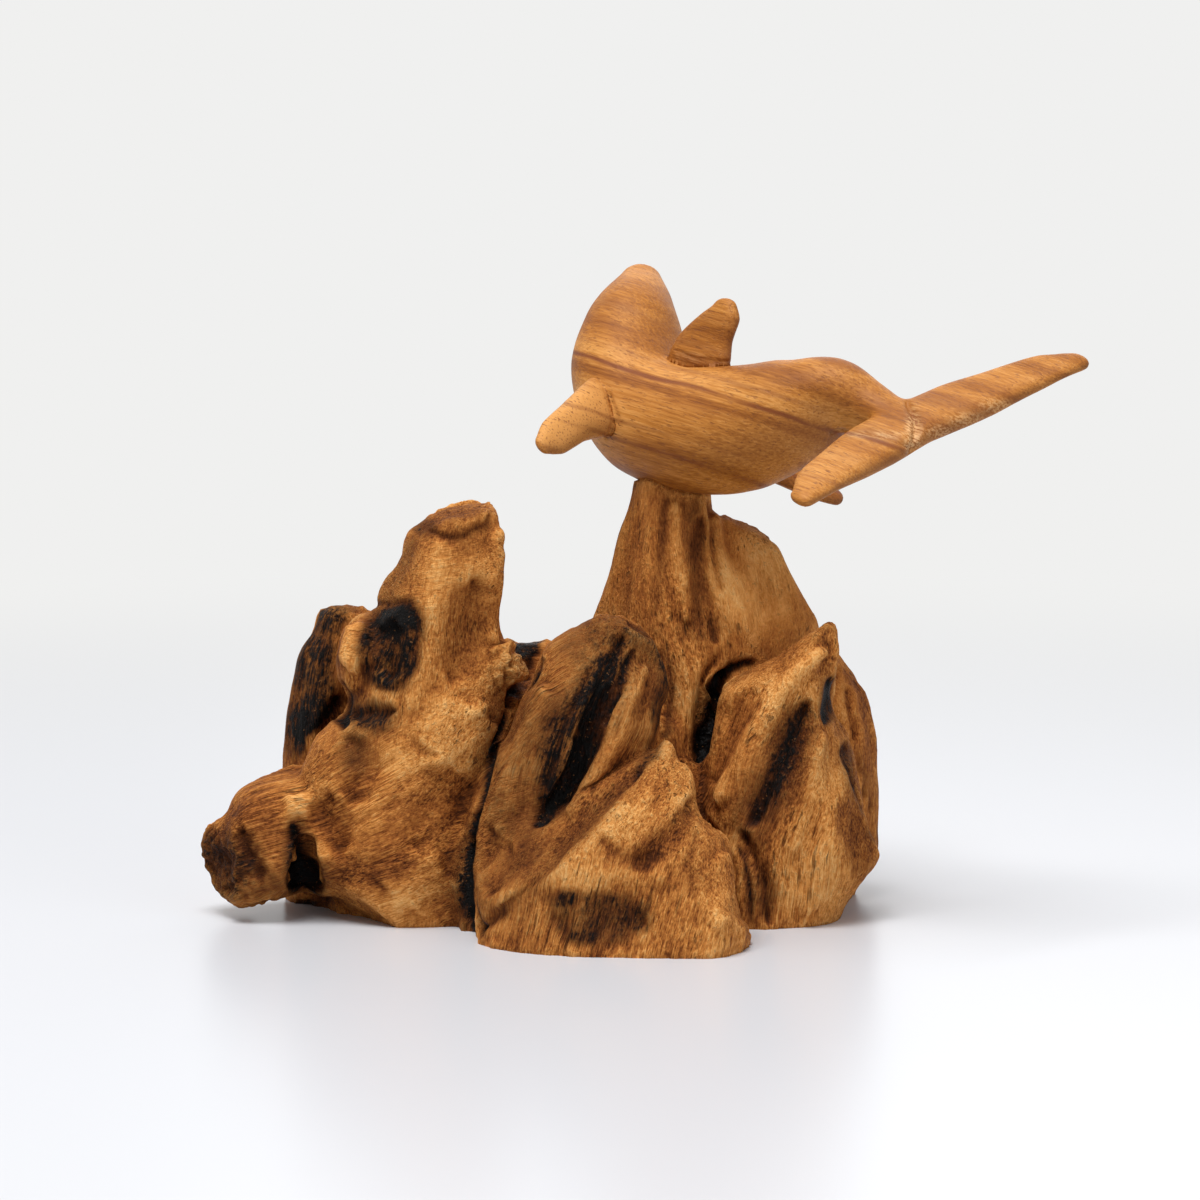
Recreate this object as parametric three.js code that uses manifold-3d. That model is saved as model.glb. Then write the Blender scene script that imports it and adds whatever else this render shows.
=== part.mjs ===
// A carved wooden dolphin leaping over a gnarled piece of root.
// Millimetres, +Z up. The origin is the middle of the root's sawn underside, and -Y is the front.

import * as THREE from "three";
import { mergeVertices } from "three/addons/utils/BufferGeometryUtils.js";
import Module from "manifold-3d";

const wasm = await Module();
wasm.setup();

// Clearance of every glued seat: the saddle, the shoulders, the mortises and the dowel holes
const GLUE_GAP = 0.3;

// Dowel that carries the dolphin on the root's post
const DOWEL_DIAMETER = 4;
const DOWEL_IN_POST = 12;
const DOWEL_IN_DOLPHIN = 8;
const DOWEL_SIDES = 20;

// Seat of the dolphin's belly on the post, and how far the post is left standing before its saddle is cut
const SEAT_X = 24;
const SEAT_Y = 16;
const POST_HEIGHT = 85.5;
const SADDLE_DEPTH = 4;

// Heights of the root's limbs above the underside, and the reach of the snag at its left
const STUMP_HEIGHT = 81;
const EAR_HEIGHT = 58;
const MIDDLE_HEIGHT = 58;
const FOOT_HEIGHT = 36;
const HORN_HEIGHT = 57;
const REAR_LOBE_HEIGHT = 46;
const SHOULDER_HEIGHT = 74;
const CORE_HEIGHT = 36;
const BACK_ROOT_HEIGHT = 46;
const BACK_KNOB_HEIGHT = 26;
const BUTTRESS_HEIGHT = 66;
const RIDGE_HEIGHT = 46;
const SNAG_REACH = 67;
const SAW_MARGIN = 6;

// Dolphin's body at its thickest
const BODY_WIDTH = 26.8;
const BODY_DEPTH = 26;

// Tail flukes
const FLUKE_HALF_SPAN = 37.8;
const FLUKE_SWEEP = 11;
const FLUKE_RISE = 3.2;
const FLUKE_CHORD = 13.8;
const FLUKE_TIP_CHORD = 6;
const FLUKE_THICKNESS = 5.2;
const FLUKE_TIP_THICKNESS = 3;

// Dorsal fin
const DORSAL_HEIGHT = 14.6;
const DORSAL_CHORD = 17;
const DORSAL_TIP_CHORD = 8.4;
const DORSAL_FULLNESS = 0.41;
const DORSAL_SWEEP = 5;
const DORSAL_THICKNESS = 5.4;
const DORSAL_TIP_THICKNESS = 3.6;

// Flippers
const LEFT_FLIPPER_LENGTH = 24;
const RIGHT_FLIPPER_LENGTH = 32;
const FLIPPER_CHORD = 12.5;
const FLIPPER_TIP_CHORD = 6.4;
const FLIPPER_FULLNESS = 0.35;
const FLIPPER_SWEEP = 2;
const FLIPPER_THICKNESS = 6.4;
const FLIPPER_TIP_THICKNESS = 3.6;

// Tenons of the fins, let into mortises in the body
const TENON_LENGTH = 5;
const TENON_CHORD = 6;
const TENON_THICKNESS = 3.2;

const UP = new THREE.Vector3(0, 0, 1);
const FRONT = new THREE.Vector3(0, -1, 0);
const ACROSS = new THREE.Vector3(1, 0, 0);

// Sections along a smooth spine, as a function of the way along it from 0 to 1.
// A station is [x, y, z, side, front, back, roll]: the section's centre, its half-widths across the facing
// direction, towards it and away from it, and its turn about the spine in degrees.
// Sections are square to the spine, or to a fixed normal where one is given.
function sectionsAlong(stations, facing, normal) {
  const curve = (pick) => new THREE.CatmullRomCurve3(stations.map(pick));
  const spine = curve(([x, y, z]) => new THREE.Vector3(x, y, z));
  const halves = curve(([, , , side, front, back = front]) => new THREE.Vector3(side, front, back));
  const rolls = curve(([, , , , , , roll = 0], i) => new THREE.Vector3(roll, i, 0));
  return (t) => {
    const along = normal ? normal.clone() : spine.getTangent(t);
    const front = facing.clone().addScaledVector(along, -facing.dot(along)).normalize();
    front.applyAxisAngle(along, THREE.MathUtils.degToRad(rolls.getPoint(t).x));
    const side = front.clone().cross(along);
    return { centre: spine.getPoint(t), half: halves.getPoint(t), along, front, side };
  };
}

// Signed power, which squares off an ellipse into a superellipse.
const bend = (value, power) => Math.sign(value) * Math.abs(value) ** power;

// Lofts a closed solid through the sections.
// square is their superellipse power, a cap is how far an end bulges past its last section, flutes are
// rounded ribs with sharp valleys along the spine, and grow thickens the solid, to cut a seat with clearance.
function loft({
  stations,
  facing = FRONT,
  normal = null,
  square = 2,
  startCap = 0,
  endCap = 0,
  grow = 0,
  steps = 3,
  segments = 20,
  flutes = { count: 0, depth: 0, turns: 0 },
}) {
  const CAP_RINGS = 4;
  const sectionAt = sectionsAlong(stations, facing, normal);
  const spans = (stations.length - 1) * steps;
  const points = [];

  function addRing(t, scale, shift) {
    const { centre, half, along, front, side } = sectionAt(t);
    half.addScalar(grow).multiplyScalar(scale);
    centre.addScaledVector(along, shift);
    for (let i = 0; i < segments; i++) {
      const angle = (2 * Math.PI * i) / segments;
      const rib = Math.abs(Math.cos((flutes.count * angle) / 2 + Math.PI * flutes.turns * t));
      const ridge = 1 + flutes.depth * (2 * rib - 1);
      const across = ridge * half.x * bend(Math.cos(angle), 2 / square);
      const ahead = ridge * bend(Math.sin(angle), 2 / square);
      const reach = ahead * (ahead > 0 ? half.y : half.z);
      points.push(centre.clone().addScaledVector(side, across).addScaledVector(front, reach));
    }
  }
  function poleAt(t, shift) {
    const { centre, along } = sectionAt(t);
    return centre.addScaledVector(along, shift);
  }
  const capTurns = Array.from({ length: CAP_RINGS - 1 }, (_, i) => ((i + 1) * Math.PI) / 2 / CAP_RINGS);

  if (startCap) {
    for (const turn of capTurns.toReversed()) addRing(0, Math.cos(turn), -startCap * Math.sin(turn));
  }
  for (let i = 0; i <= spans; i++) addRing(i / spans, 1, 0);
  if (endCap) {
    for (const turn of capTurns) addRing(1, Math.cos(turn), (endCap + grow) * Math.sin(turn));
  }

  const rings = points.length / segments;
  const first = points.push(poleAt(0, -startCap - grow)) - 1;
  const last = points.push(poleAt(1, endCap + grow)) - 1;
  const index = [];
  for (let i = 0; i < segments; i++) {
    const next = (i + 1) % segments;
    index.push(first, next, i);
    for (let low = 0; low < (rings - 1) * segments; low += segments) {
      const high = low + segments;
      index.push(low + i, low + next, high + next, low + i, high + next, high + i);
    }
    const top = (rings - 1) * segments;
    index.push(top + i, top + next, last);
  }
  return new THREE.BufferGeometry().setFromPoints(points).setIndex(index);
}

// A closed geometry as a solid that can be joined and cut.
function solidOf(geometry) {
  const bare = geometry.clone();
  bare.deleteAttribute("normal");
  bare.deleteAttribute("uv");
  const welded = mergeVertices(bare);
  return new wasm.Manifold(
    new wasm.Mesh({
      numProp: 3,
      vertProperties: welded.attributes.position.array,
      triVerts: new Uint32Array(welded.index.array),
    }),
  );
}

function meshOf(name, solid, material) {
  const { vertProperties, triVerts } = solid.getMesh();
  const geometry = new THREE.BufferGeometry();
  geometry.setAttribute("position", new THREE.BufferAttribute(vertProperties, 3));
  geometry.setIndex(new THREE.BufferAttribute(triVerts, 1));
  geometry.computeVertexNormals();
  const mesh = new THREE.Mesh(geometry, material);
  mesh.name = name;
  return mesh;
}

const loftSolid = (spec) => solidOf(loft(spec));
const joined = (solids) => solids.reduce((whole, next) => whole.add(next));
const cutBy = (solid, cuts) => cuts.reduce((wood, cut) => wood.subtract(cut), solid);

// Chisels flats on a solid. Each is a point of the flat and the way it faces: what lies beyond it goes.
function chiselled(solid, flats) {
  return flats.reduce((wood, [at, facing]) => {
    const inward = new THREE.Vector3(...facing).normalize().negate();
    return wood.trimByPlane(inward.toArray(), inward.dot(new THREE.Vector3(...at)));
  }, solid);
}

// An upright round bar between two heights.
function rod(diameter, x, y, low, high) {
  const geometry = new THREE.CylinderGeometry(diameter / 2, diameter / 2, high - low, DOWEL_SIDES);
  geometry.rotateX(Math.PI / 2).translate(x, y, (low + high) / 2);
  return solidOf(geometry);
}

// The dolphin has its own frame, with the origin where its belly sits over the dowel.

// Snout to tail: the centre, then the half-width, back and belly as shares of the thickest, and the roll.
const bodyShape = [
  [-7.3, 33.5, 41, 0.34, 0.26, 0.29, -8],
  [-8, 28.5, 37, 0.54, 0.51, 0.48, -9],
  [-9.2, 22, 31.5, 0.76, 0.75, 0.68, -10],
  [-9.4, 14.5, 22.5, 0.96, 0.86, 0.91, -12],
  [-5, 6, 14, 1, 0.95, 1.01, -12],
  [10.2, -8.5, 12, 1, 1, 1, 0],
  [22, -19, 16.8, 0.76, 0.8, 0.89, 12],
  [30.2, -24.4, 20.6, 0.51, 0.53, 0.7, 19],
  [37.1, -28.9, 18.2, 0.36, 0.34, 0.54, 20],
  [43.2, -36, 15.2, 0.31, 0.2, 0.26, 20.5],
];
const bodyLoft = {
  facing: UP,
  stations: bodyShape.map(([x, y, z, side, back, belly, roll]) => [
    x,
    y,
    z,
    (side * BODY_WIDTH) / 2,
    (back * BODY_DEPTH) / 2,
    (belly * BODY_DEPTH) / 2,
    roll,
  ]),
  startCap: 4,
  endCap: 2,
  steps: 4,
  segments: 26,
};

// Section of the body at a station number, which may lie between two stations.
function bodyAt(station) {
  const { centre, half, along, front, side } = sectionsAlong(bodyLoft.stations, bodyLoft.facing)(
    station / (bodyLoft.stations.length - 1),
  );
  return { centre, half, right: side, up: front, aft: along };
}

// Turns a geometry built on local X, Y and Z onto three directions at a point.
function placed(geometry, at, x, y, z) {
  return solidOf(geometry.applyMatrix4(new THREE.Matrix4().makeBasis(x, y, z).setPosition(at)));
}

// A fluke lobe spreads along local X, rises along Y and sweeps aft along Z. The left one is mirrored.
function flukeLobe(mirrored) {
  const tail = bodyAt(bodyLoft.stations.length - 1);
  const half = FLUKE_THICKNESS / 2;
  const tipHalf = FLUKE_TIP_THICKNESS / 2;
  const chord = FLUKE_CHORD / 2;
  const tipChord = FLUKE_TIP_CHORD / 2;
  const roundEnd = 2;
  const tip = FLUKE_HALF_SPAN - roundEnd;
  const lobe = loft({
    facing: new THREE.Vector3(0, 1, 0),
    normal: ACROSS,
    square: 2.8,
    endCap: roundEnd,
    segments: 18,
    stations: [
      [-3, 0, 0.1 * FLUKE_SWEEP, 0.95 * chord, half],
      [0.3 * tip, 0.15 * FLUKE_RISE, 0.25 * FLUKE_SWEEP, chord, half],
      [0.62 * tip, 0.55 * FLUKE_RISE, 0.52 * FLUKE_SWEEP, 0.85 * chord, 0.5 * (half + tipHalf)],
      [0.87 * tip, FLUKE_RISE, 0.8 * FLUKE_SWEEP, 0.5 * (chord + tipChord), tipHalf],
      [tip, FLUKE_RISE, FLUKE_SWEEP, tipChord, tipHalf],
    ],
  });
  if (mirrored) {
    lobe.scale(-1, 1, 1);
    lobe.setIndex(Array.from(lobe.index.array).reverse());
  }
  return placed(lobe, tail.centre, tail.right, tail.up, tail.aft);
}

// A fin's blade rises along local Z from under the skin, with its chord along X and its flat sides across Y.
// fullness is its half-chord near mid-height, as a share of the chord.
function finBlade({ length, chord, tipChord, thickness, tipThickness, sweep, fullness }) {
  const roundEnd = tipThickness / 2;
  const tip = length - roundEnd;
  return loft({
    facing: new THREE.Vector3(0, 1, 0),
    normal: UP,
    square: 2.2,
    endCap: roundEnd,
    steps: 2,
    segments: 18,
    stations: [
      [-0.2 * sweep, 0, -thickness, 0.56 * chord, 0.56 * thickness],
      [0, 0, 0, 0.5 * chord, 0.5 * thickness],
      [0.18 * sweep, 0, 0.45 * tip, fullness * chord, 0.44 * thickness],
      [0.8 * sweep, 0, 0.82 * tip, 0.08 * chord + 0.46 * tipChord, 0.52 * tipThickness],
      [sweep, 0, tip, 0.36 * tipChord, 0.36 * tipThickness],
    ],
  });
}

// The tenon on a fin's root, running down local Z into the body.
function finTenon(finLength, grow) {
  return loft({
    facing: new THREE.Vector3(0, 1, 0),
    segments: 14,
    steps: 1,
    grow,
    stations: [
      [0, 0, -TENON_LENGTH - grow, TENON_CHORD / 2, TENON_THICKNESS / 2],
      [0, 0, finLength / 4, TENON_CHORD / 2, TENON_THICKNESS / 2],
    ],
  });
}

// A direction made of shares of a section's right, up and aft.
function heading({ right, up, aft }, shares) {
  const [toRight, toUp, toAft] = shares;
  return new THREE.Vector3()
    .addScaledVector(right, toRight)
    .addScaledVector(up, toUp)
    .addScaledVector(aft, toAft)
    .normalize();
}

// Each fin: the body station that carries it, the way from the spine to its root and the distance to the
// skin there, the way its blade points, the way its chord runs, and its sizes.
const flipperSizes = {
  chord: FLIPPER_CHORD,
  tipChord: FLIPPER_TIP_CHORD,
  thickness: FLIPPER_THICKNESS,
  tipThickness: FLIPPER_TIP_THICKNESS,
  sweep: FLIPPER_SWEEP,
  fullness: FLIPPER_FULLNESS,
};
const finSpecs = [
  {
    name: "dorsal_fin",
    station: 4.5,
    root: [0, 1, 0],
    skin: (half) => half.y,
    points: [0, 1, 0],
    chordwise: [0, 0, 1],
    length: DORSAL_HEIGHT,
    chord: DORSAL_CHORD,
    tipChord: DORSAL_TIP_CHORD,
    thickness: DORSAL_THICKNESS,
    tipThickness: DORSAL_TIP_THICKNESS,
    sweep: DORSAL_SWEEP,
    fullness: DORSAL_FULLNESS,
  },
  {
    name: "left_flipper",
    station: 3.9,
    root: [-1, -0.1, 0],
    skin: (half) => half.x,
    points: [-0.86, -0.2, 0.36],
    chordwise: [0, -0.42, 0.91],
    length: LEFT_FLIPPER_LENGTH,
    ...flipperSizes,
  },
  {
    name: "right_flipper",
    station: 4.15,
    root: [1, -0.05, 0],
    skin: (half) => half.x,
    points: [0.77, -0.1, 0.63],
    chordwise: [0, -0.42, 0.91],
    length: RIGHT_FLIPPER_LENGTH,
    ...flipperSizes,
  },
];

const carvedBody = joined([loftSolid(bodyLoft), flukeLobe(false), flukeLobe(true)]);
const bodyWithGap = loftSolid({ ...bodyLoft, grow: GLUE_GAP });

// A fin whose shoulder is shaped to the body, with its tenon, and the mortise that the tenon fits.
function makeFin(spec) {
  const section = bodyAt(spec.station);
  const z = heading(section, spec.points);
  const chordwise = heading(section, spec.chordwise);
  const x = chordwise.addScaledVector(z, -chordwise.dot(z)).normalize();
  const y = z.clone().cross(x);
  const at = section.centre.addScaledVector(heading(section, spec.root), spec.skin(section.half));
  const shoulder = placed(finBlade(spec), at, x, y, z).subtract(bodyWithGap);
  return {
    name: spec.name,
    solid: shoulder.add(placed(finTenon(spec.length, 0), at, x, y, z)),
    mortise: placed(finTenon(spec.length, GLUE_GAP), at, x, y, z),
  };
}

// The root's limbs grew together. Each is lofted from below the saw cut, or from inside the root, to its tip.
const share = (height, part) => height * part;
const limbs = {
  core: {
    stations: [
      [-2, 10, -SAW_MARGIN, 45, 24, 28],
      [-1, 12, share(CORE_HEIGHT, 0.5), 45, 26, 27],
      [1, 13, CORE_HEIGHT, 31, 20, 19],
    ],
    endCap: 12,
    flutes: { count: 5, depth: 0.05, turns: 0.2 },
  },
  stump: {
    stations: [
      [-32, 3, -SAW_MARGIN, 19, 15, 20, -35],
      [-31.5, 2, share(STUMP_HEIGHT, 0.2), 18.5, 17, 20, -28],
      [-28, 0, share(STUMP_HEIGHT, 0.44), 16, 15.5, 18, -15],
      [-26, -1.5, share(STUMP_HEIGHT, 0.62), 15.4, 12.5, 15, -6],
      [-24.5, -2, share(STUMP_HEIGHT, 0.77), 12, 10.5, 12],
      [-21.6, -3, share(STUMP_HEIGHT, 0.91), 10, 9, 10],
      [-19.4, -4, STUMP_HEIGHT, 7.8, 7.5, 8.5],
    ],
    endCap: 1.6,
    segments: 26,
    flutes: { count: 4, depth: 0.05, turns: 0.3 },
    flats: [
      [[-13.4, -9.5, share(STUMP_HEIGHT, 0.72)], [0.75, -0.65, 0.1]],
      [[-42, -11, share(STUMP_HEIGHT, 0.08)], [-0.55, -0.35, -0.76]],
    ],
  },
  knot: {
    stations: [
      [-30, 2, share(STUMP_HEIGHT, 0.63), 8, 7, 9],
      [-39, -0.6, share(STUMP_HEIGHT, 0.645), 10, 8.5, 9.5],
    ],
    endCap: 5.6,
    segments: 16,
  },
  flare: {
    stations: [
      [-31, 0, share(STUMP_HEIGHT, 0.64), 8, 8, 8],
      [-34.5, -1, share(STUMP_HEIGHT, 0.48), 9.6, 12, 11],
      [-41, -1, share(STUMP_HEIGHT, 0.33), 12, 12.5, 12],
      [-40, 0, share(STUMP_HEIGHT, 0.15), 10, 11, 10],
    ],
    endCap: 3,
    segments: 16,
    flats: [[[-42, -11, share(STUMP_HEIGHT, 0.08)], [-0.55, -0.35, -0.76]]],
  },
  ear: {
    stations: [
      [-42, 20, -SAW_MARGIN, 14, 13, 16],
      [-46, 18, share(EAR_HEIGHT, 0.4), 11, 9.5, 12],
      [-46, 17, share(EAR_HEIGHT, 0.75), 9.8, 7, 9],
      [-44, 17, EAR_HEIGHT, 7.4, 5, 6],
    ],
    endCap: 3.5,
    flutes: { count: 3, depth: 0.05, turns: 0.3 },
    flats: [[[-49, 9, share(EAR_HEIGHT, 0.7)], [-0.35, -0.93, 0.1]]],
  },
  snag: {
    stations: [
      [-36, 4, 18, 14, 15, 15],
      [-0.79 * SNAG_REACH, 1, 16.6, 12.6, 13.5, 14],
      [-0.92 * SNAG_REACH, -1, 14.8, 11.2, 11.5, 12],
      [-SNAG_REACH, -2, 12.2, 9.4, 8.5, 9],
    ],
    endCap: 5.6,
    square: 2.3,
    flutes: { count: 5, depth: 0.05, turns: 0.3 },
    flats: [[[-0.99 * SNAG_REACH, -8.5, 13], [-0.86, -0.5, -0.1]]],
  },
  middle: {
    stations: [
      [-9, -14, -SAW_MARGIN, 11, 12, 12],
      [-6, -14, share(MIDDLE_HEIGHT, 0.2), 13.5, 12.5, 13],
      [1.2, -13, share(MIDDLE_HEIGHT, 0.52), 15, 13, 14],
      [6.5, -12.5, share(MIDDLE_HEIGHT, 0.78), 14.6, 12, 12],
      [10.6, -12.5, share(MIDDLE_HEIGHT, 0.92), 11.6, 9, 10],
      [12.8, -12.5, MIDDLE_HEIGHT, 7.6, 6.5, 7.5],
    ],
    endCap: 3.2,
    segments: 26,
    flutes: { count: 5, depth: 0.04, turns: 0.25 },
    flats: [
      [[-4.4, -22.9, share(MIDDLE_HEIGHT, 0.6)], [-0.48, -0.87, 0.1]],
      [[16, -19.6, share(MIDDLE_HEIGHT, 0.83)], [0.6, -0.77, 0.22]],
      [[21.8, -12, share(MIDDLE_HEIGHT, 0.75)], [0.97, 0.1, 0.2]],
    ],
  },
  foot: {
    stations: [
      [10, -28, -SAW_MARGIN, 27.5, 17.5, 12, -14],
      [12.8, -27.5, share(FOOT_HEIGHT, 0.28), 26.4, 15.5, 12, -14],
      [17.2, -25, share(FOOT_HEIGHT, 0.56), 18, 12.5, 11, -12],
      [19.6, -22, share(FOOT_HEIGHT, 0.82), 9, 8.5, 9, -8],
      [22.4, -20, FOOT_HEIGHT, 3.2, 3.6, 5],
    ],
    endCap: 2,
    square: 2.6,
    segments: 26,
    flutes: { count: 3, depth: 0.03, turns: 0.1 },
    flats: [
      [[8, -42.4, share(FOOT_HEIGHT, 0.2)], [-0.06, -0.96, 0.26]],
      [[37, -36, share(FOOT_HEIGHT, 0.35)], [0.94, -0.3, 0.16]],
      [[1.4, -36.6, share(FOOT_HEIGHT, 0.52)], [-0.5, -0.5, 0.7]],
    ],
  },
  horn: {
    stations: [
      [37.5, 2, -SAW_MARGIN, 13, 17, 16],
      [44, 2, share(HORN_HEIGHT, 0.17), 16.2, 17.5, 16],
      [46.5, 1, share(HORN_HEIGHT, 0.32), 18, 16, 15],
      [44.5, 0, share(HORN_HEIGHT, 0.55), 15.5, 13, 14],
      [45.5, -1, share(HORN_HEIGHT, 0.74), 11, 9, 11],
      [49, -2, share(HORN_HEIGHT, 0.87), 6.6, 6, 8],
      [53.4, -3, HORN_HEIGHT, 2.4, 2.4, 3],
    ],
    endCap: 1.6,
    segments: 26,
    flutes: { count: 5, depth: 0.04, turns: 0.3 },
    flats: [
      [[36.6, -6.4, share(HORN_HEIGHT, 0.7)], [-0.72, -0.62, 0.3]],
      [[54.5, -9.5, share(HORN_HEIGHT, 0.5)], [0.7, -0.68, 0.2]],
      [[61.5, 0, share(HORN_HEIGHT, 0.35)], [0.98, 0, 0.15]],
    ],
  },
  rear_lobe: {
    stations: [
      [39, 26, -SAW_MARGIN, 18, 19, 18],
      [45, 24, share(REAR_LOBE_HEIGHT, 0.45), 20.5, 18, 16],
      [46.5, 24, share(REAR_LOBE_HEIGHT, 0.85), 19, 14, 13],
      [46, 24, REAR_LOBE_HEIGHT, 15.5, 10, 10],
    ],
    endCap: 5,
    flutes: { count: 4, depth: 0.05, turns: 0.2 },
    flats: [
      [[64.4, 16, share(REAR_LOBE_HEIGHT, 0.6)], [0.85, -0.45, 0.25]],
      [[64.6, 28, share(REAR_LOBE_HEIGHT, 0.6)], [0.93, 0.3, 0.2]],
      [[46, 37, share(REAR_LOBE_HEIGHT, 0.6)], [0.2, 0.95, 0.25]],
    ],
  },
  post: {
    stations: [
      [25, 16, 4, 25, 18, 24],
      [25, 16, share(POST_HEIGHT, 0.5), 22.5, 14, 19],
      [24, 15.5, share(POST_HEIGHT, 0.7), 17, 11, 14],
      [22.4, 15.5, share(POST_HEIGHT, 0.85), 11.3, 9, 11],
      [22.6, 15.5, share(POST_HEIGHT, 0.94), 8.6, 8, 9],
      [23, 15.5, POST_HEIGHT + SADDLE_DEPTH, 6.6, 6.5, 7],
    ],
    segments: 24,
    flutes: { count: 5, depth: 0.04, turns: 0.1 },
    flats: [
      [[15, 8.6, share(POST_HEIGHT, 0.8)], [-0.72, -0.67, 0.2]],
      [[24, 6.6, share(POST_HEIGHT, 0.78)], [0.1, -0.97, 0.2]],
    ],
  },
  shoulder: {
    stations: [
      [37, 18, 20, 16, 12, 18],
      [38.5, 18.5, share(SHOULDER_HEIGHT, 0.78), 13.4, 10, 13],
      [37.5, 19, share(SHOULDER_HEIGHT, 0.92), 10.4, 8, 10],
      [35.5, 19, SHOULDER_HEIGHT, 9, 6, 8],
    ],
    endCap: 3.4,
    flats: [
      [[42, 11, share(SHOULDER_HEIGHT, 0.88)], [0.2, -0.95, 0.22]],
      [[47.6, 19, share(SHOULDER_HEIGHT, 0.9)], [0.88, 0.1, 0.42]],
    ],
  },
  back_root: {
    stations: [
      [-12, 18, BACK_ROOT_HEIGHT, 10, 9, 10],
      [-17, 27, share(BACK_ROOT_HEIGHT, 0.7), 14, 12, 12, 15],
      [-25, 36, share(BACK_ROOT_HEIGHT, 0.35), 15, 12, 13, 25],
      [-32, 43, 0, 12, 10, 12, 30],
    ],
    startCap: 6,
    endCap: 4,
    flutes: { count: 4, depth: 0.06, turns: 0.3 },
  },
  back_knob: {
    stations: [
      [-1, 40, -SAW_MARGIN, 13, 14, 10],
      [0, 37, share(BACK_KNOB_HEIGHT, 0.6), 11.5, 12, 8],
      [1, 33, BACK_KNOB_HEIGHT, 7, 8, 6],
    ],
    endCap: 5,
    flutes: { count: 3, depth: 0.06, turns: 0.2 },
  },
  back_buttress: {
    stations: [
      [22.5, 21, BUTTRESS_HEIGHT, 7, 6, 6],
      [22, 28, share(BUTTRESS_HEIGHT, 0.68), 11, 9, 9, -8],
      [20, 35, share(BUTTRESS_HEIGHT, 0.34), 14, 12, 11, -16],
      [18, 42, 0, 13, 11, 12, -20],
    ],
    startCap: 5,
    endCap: 4,
    flutes: { count: 4, depth: 0.06, turns: 0.3 },
  },
  ridge: {
    stations: [
      [-24, 10, RIDGE_HEIGHT, 8, 9, 9],
      [-8, 19, RIDGE_HEIGHT, 6.5, 7, 8],
      [8, 20, RIDGE_HEIGHT, 7, 8, 9],
    ],
    facing: UP,
    startCap: 3,
    endCap: 3,
    flutes: { count: 3, depth: 0.06, turns: 0.4 },
  },
};

// Splits and hollows between the limbs, each a thin blade or spindle swept along its mouth.
// side is half the mouth's width, and front and back are how far it reaches out of and into the wood.
const splits = {
  stump_crack: [
    [-7.5, -13, 54, 1.6, 5, 9, -20],
    [-11, -18, 40, 1, 5, 8, -30],
    [-15, -22, 22, 0.9, 5, 7, -30],
    [-18.2, -24, 6, 1.1, 5, 7, -25],
    [-18.4, -25, -3, 1.2, 5, 7, -25],
  ],
  middle_groove: [
    [13.2, -22, 53.5, 0.6, 1.5, 1],
    [9.4, -24.2, 46, 2, 3, 2.6],
    [3.6, -25.4, 34, 2.4, 3, 3],
    [-1.8, -25.8, 24, 1.4, 2, 2],
  ],
  post_crevice: [
    [33.5, 2, 53, 1.2, 4, 4],
    [30, 0, 48, 2, 6, 6],
    [28.4, -5, 38, 2.2, 6, 7],
    [27.2, -12, 30, 1.2, 5, 5],
  ],
  horn_groove: [
    [48.2, -11, 45.5, 0.8, 2, 1],
    [44, -13.6, 36, 2.2, 3, 1.8],
    [38.6, -15.6, 23, 2.2, 3, 1.8],
    [36.5, -16.6, 17, 1, 2, 1],
  ],
  snag_pocket: [
    [-50.6, -9, -4, 4, 6, 9],
    [-50.6, -9, 8, 3.6, 6, 8],
    [-50, -9, 18, 1.6, 5, 4],
  ],
  ear_hollow: [
    [-49, 8, 26, 2.5, 6, 5],
    [-45.5, 7, 36, 5.5, 5, 6],
    [-43, 7, 46, 2.5, 4, 4],
  ],
};

const SAW_BLOCK = 400;

function makeRoot() {
  const grown = joined(Object.values(limbs).map((limb) => chiselled(loftSolid(limb), limb.flats ?? [])));
  const cuts = Object.values(splits).map((stations) => loftSolid({ stations, steps: 2, segments: 10 }));
  const saw = new THREE.BoxGeometry(SAW_BLOCK, SAW_BLOCK, SAW_BLOCK).translate(0, 0, -SAW_BLOCK / 2);
  const belly = bodyWithGap.translate([SEAT_X, SEAT_Y, POST_HEIGHT]);
  const socketEnd = POST_HEIGHT - DOWEL_IN_POST;
  const socketMouth = POST_HEIGHT + 2 * SADDLE_DEPTH;
  const socket = rod(DOWEL_DIAMETER + 2 * GLUE_GAP, SEAT_X, SEAT_Y, socketEnd, socketMouth);
  return cutBy(grown, [solidOf(saw), belly, socket, ...cuts]);
}

// Materials: a pale close-grained wood for the dolphin and a darker brown root.
const paleWood = new THREE.MeshStandardMaterial({ color: 0xc08a4e, roughness: 0.55, metalness: 0 });
const rootWood = new THREE.MeshStandardMaterial({ color: 0x8a5a2c, roughness: 0.75, metalness: 0 });
const dowelWood = new THREE.MeshStandardMaterial({ color: 0xc9a36a, roughness: 0.7, metalness: 0 });

const dolphin = new THREE.Group();
dolphin.position.set(SEAT_X, SEAT_Y, POST_HEIGHT);
const fins = finSpecs.map(makeFin);
const dowelSocket = rod(DOWEL_DIAMETER + 2 * GLUE_GAP, 0, 0, -BODY_DEPTH, DOWEL_IN_DOLPHIN + GLUE_GAP);
const body = cutBy(carvedBody, [dowelSocket, ...fins.map((fin) => fin.mortise)]);
dolphin.add(meshOf("dolphin_body", body, paleWood));
for (const fin of fins) dolphin.add(meshOf(fin.name, fin.solid, paleWood));
const dowel = rod(DOWEL_DIAMETER, 0, 0, GLUE_GAP - DOWEL_IN_POST, DOWEL_IN_DOLPHIN);
dolphin.add(meshOf("support_dowel", dowel, dowelWood));

const sculpture = new THREE.Group();
sculpture.add(meshOf("root_base", makeRoot(), rootWood), dolphin);

export default sculpture;
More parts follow.
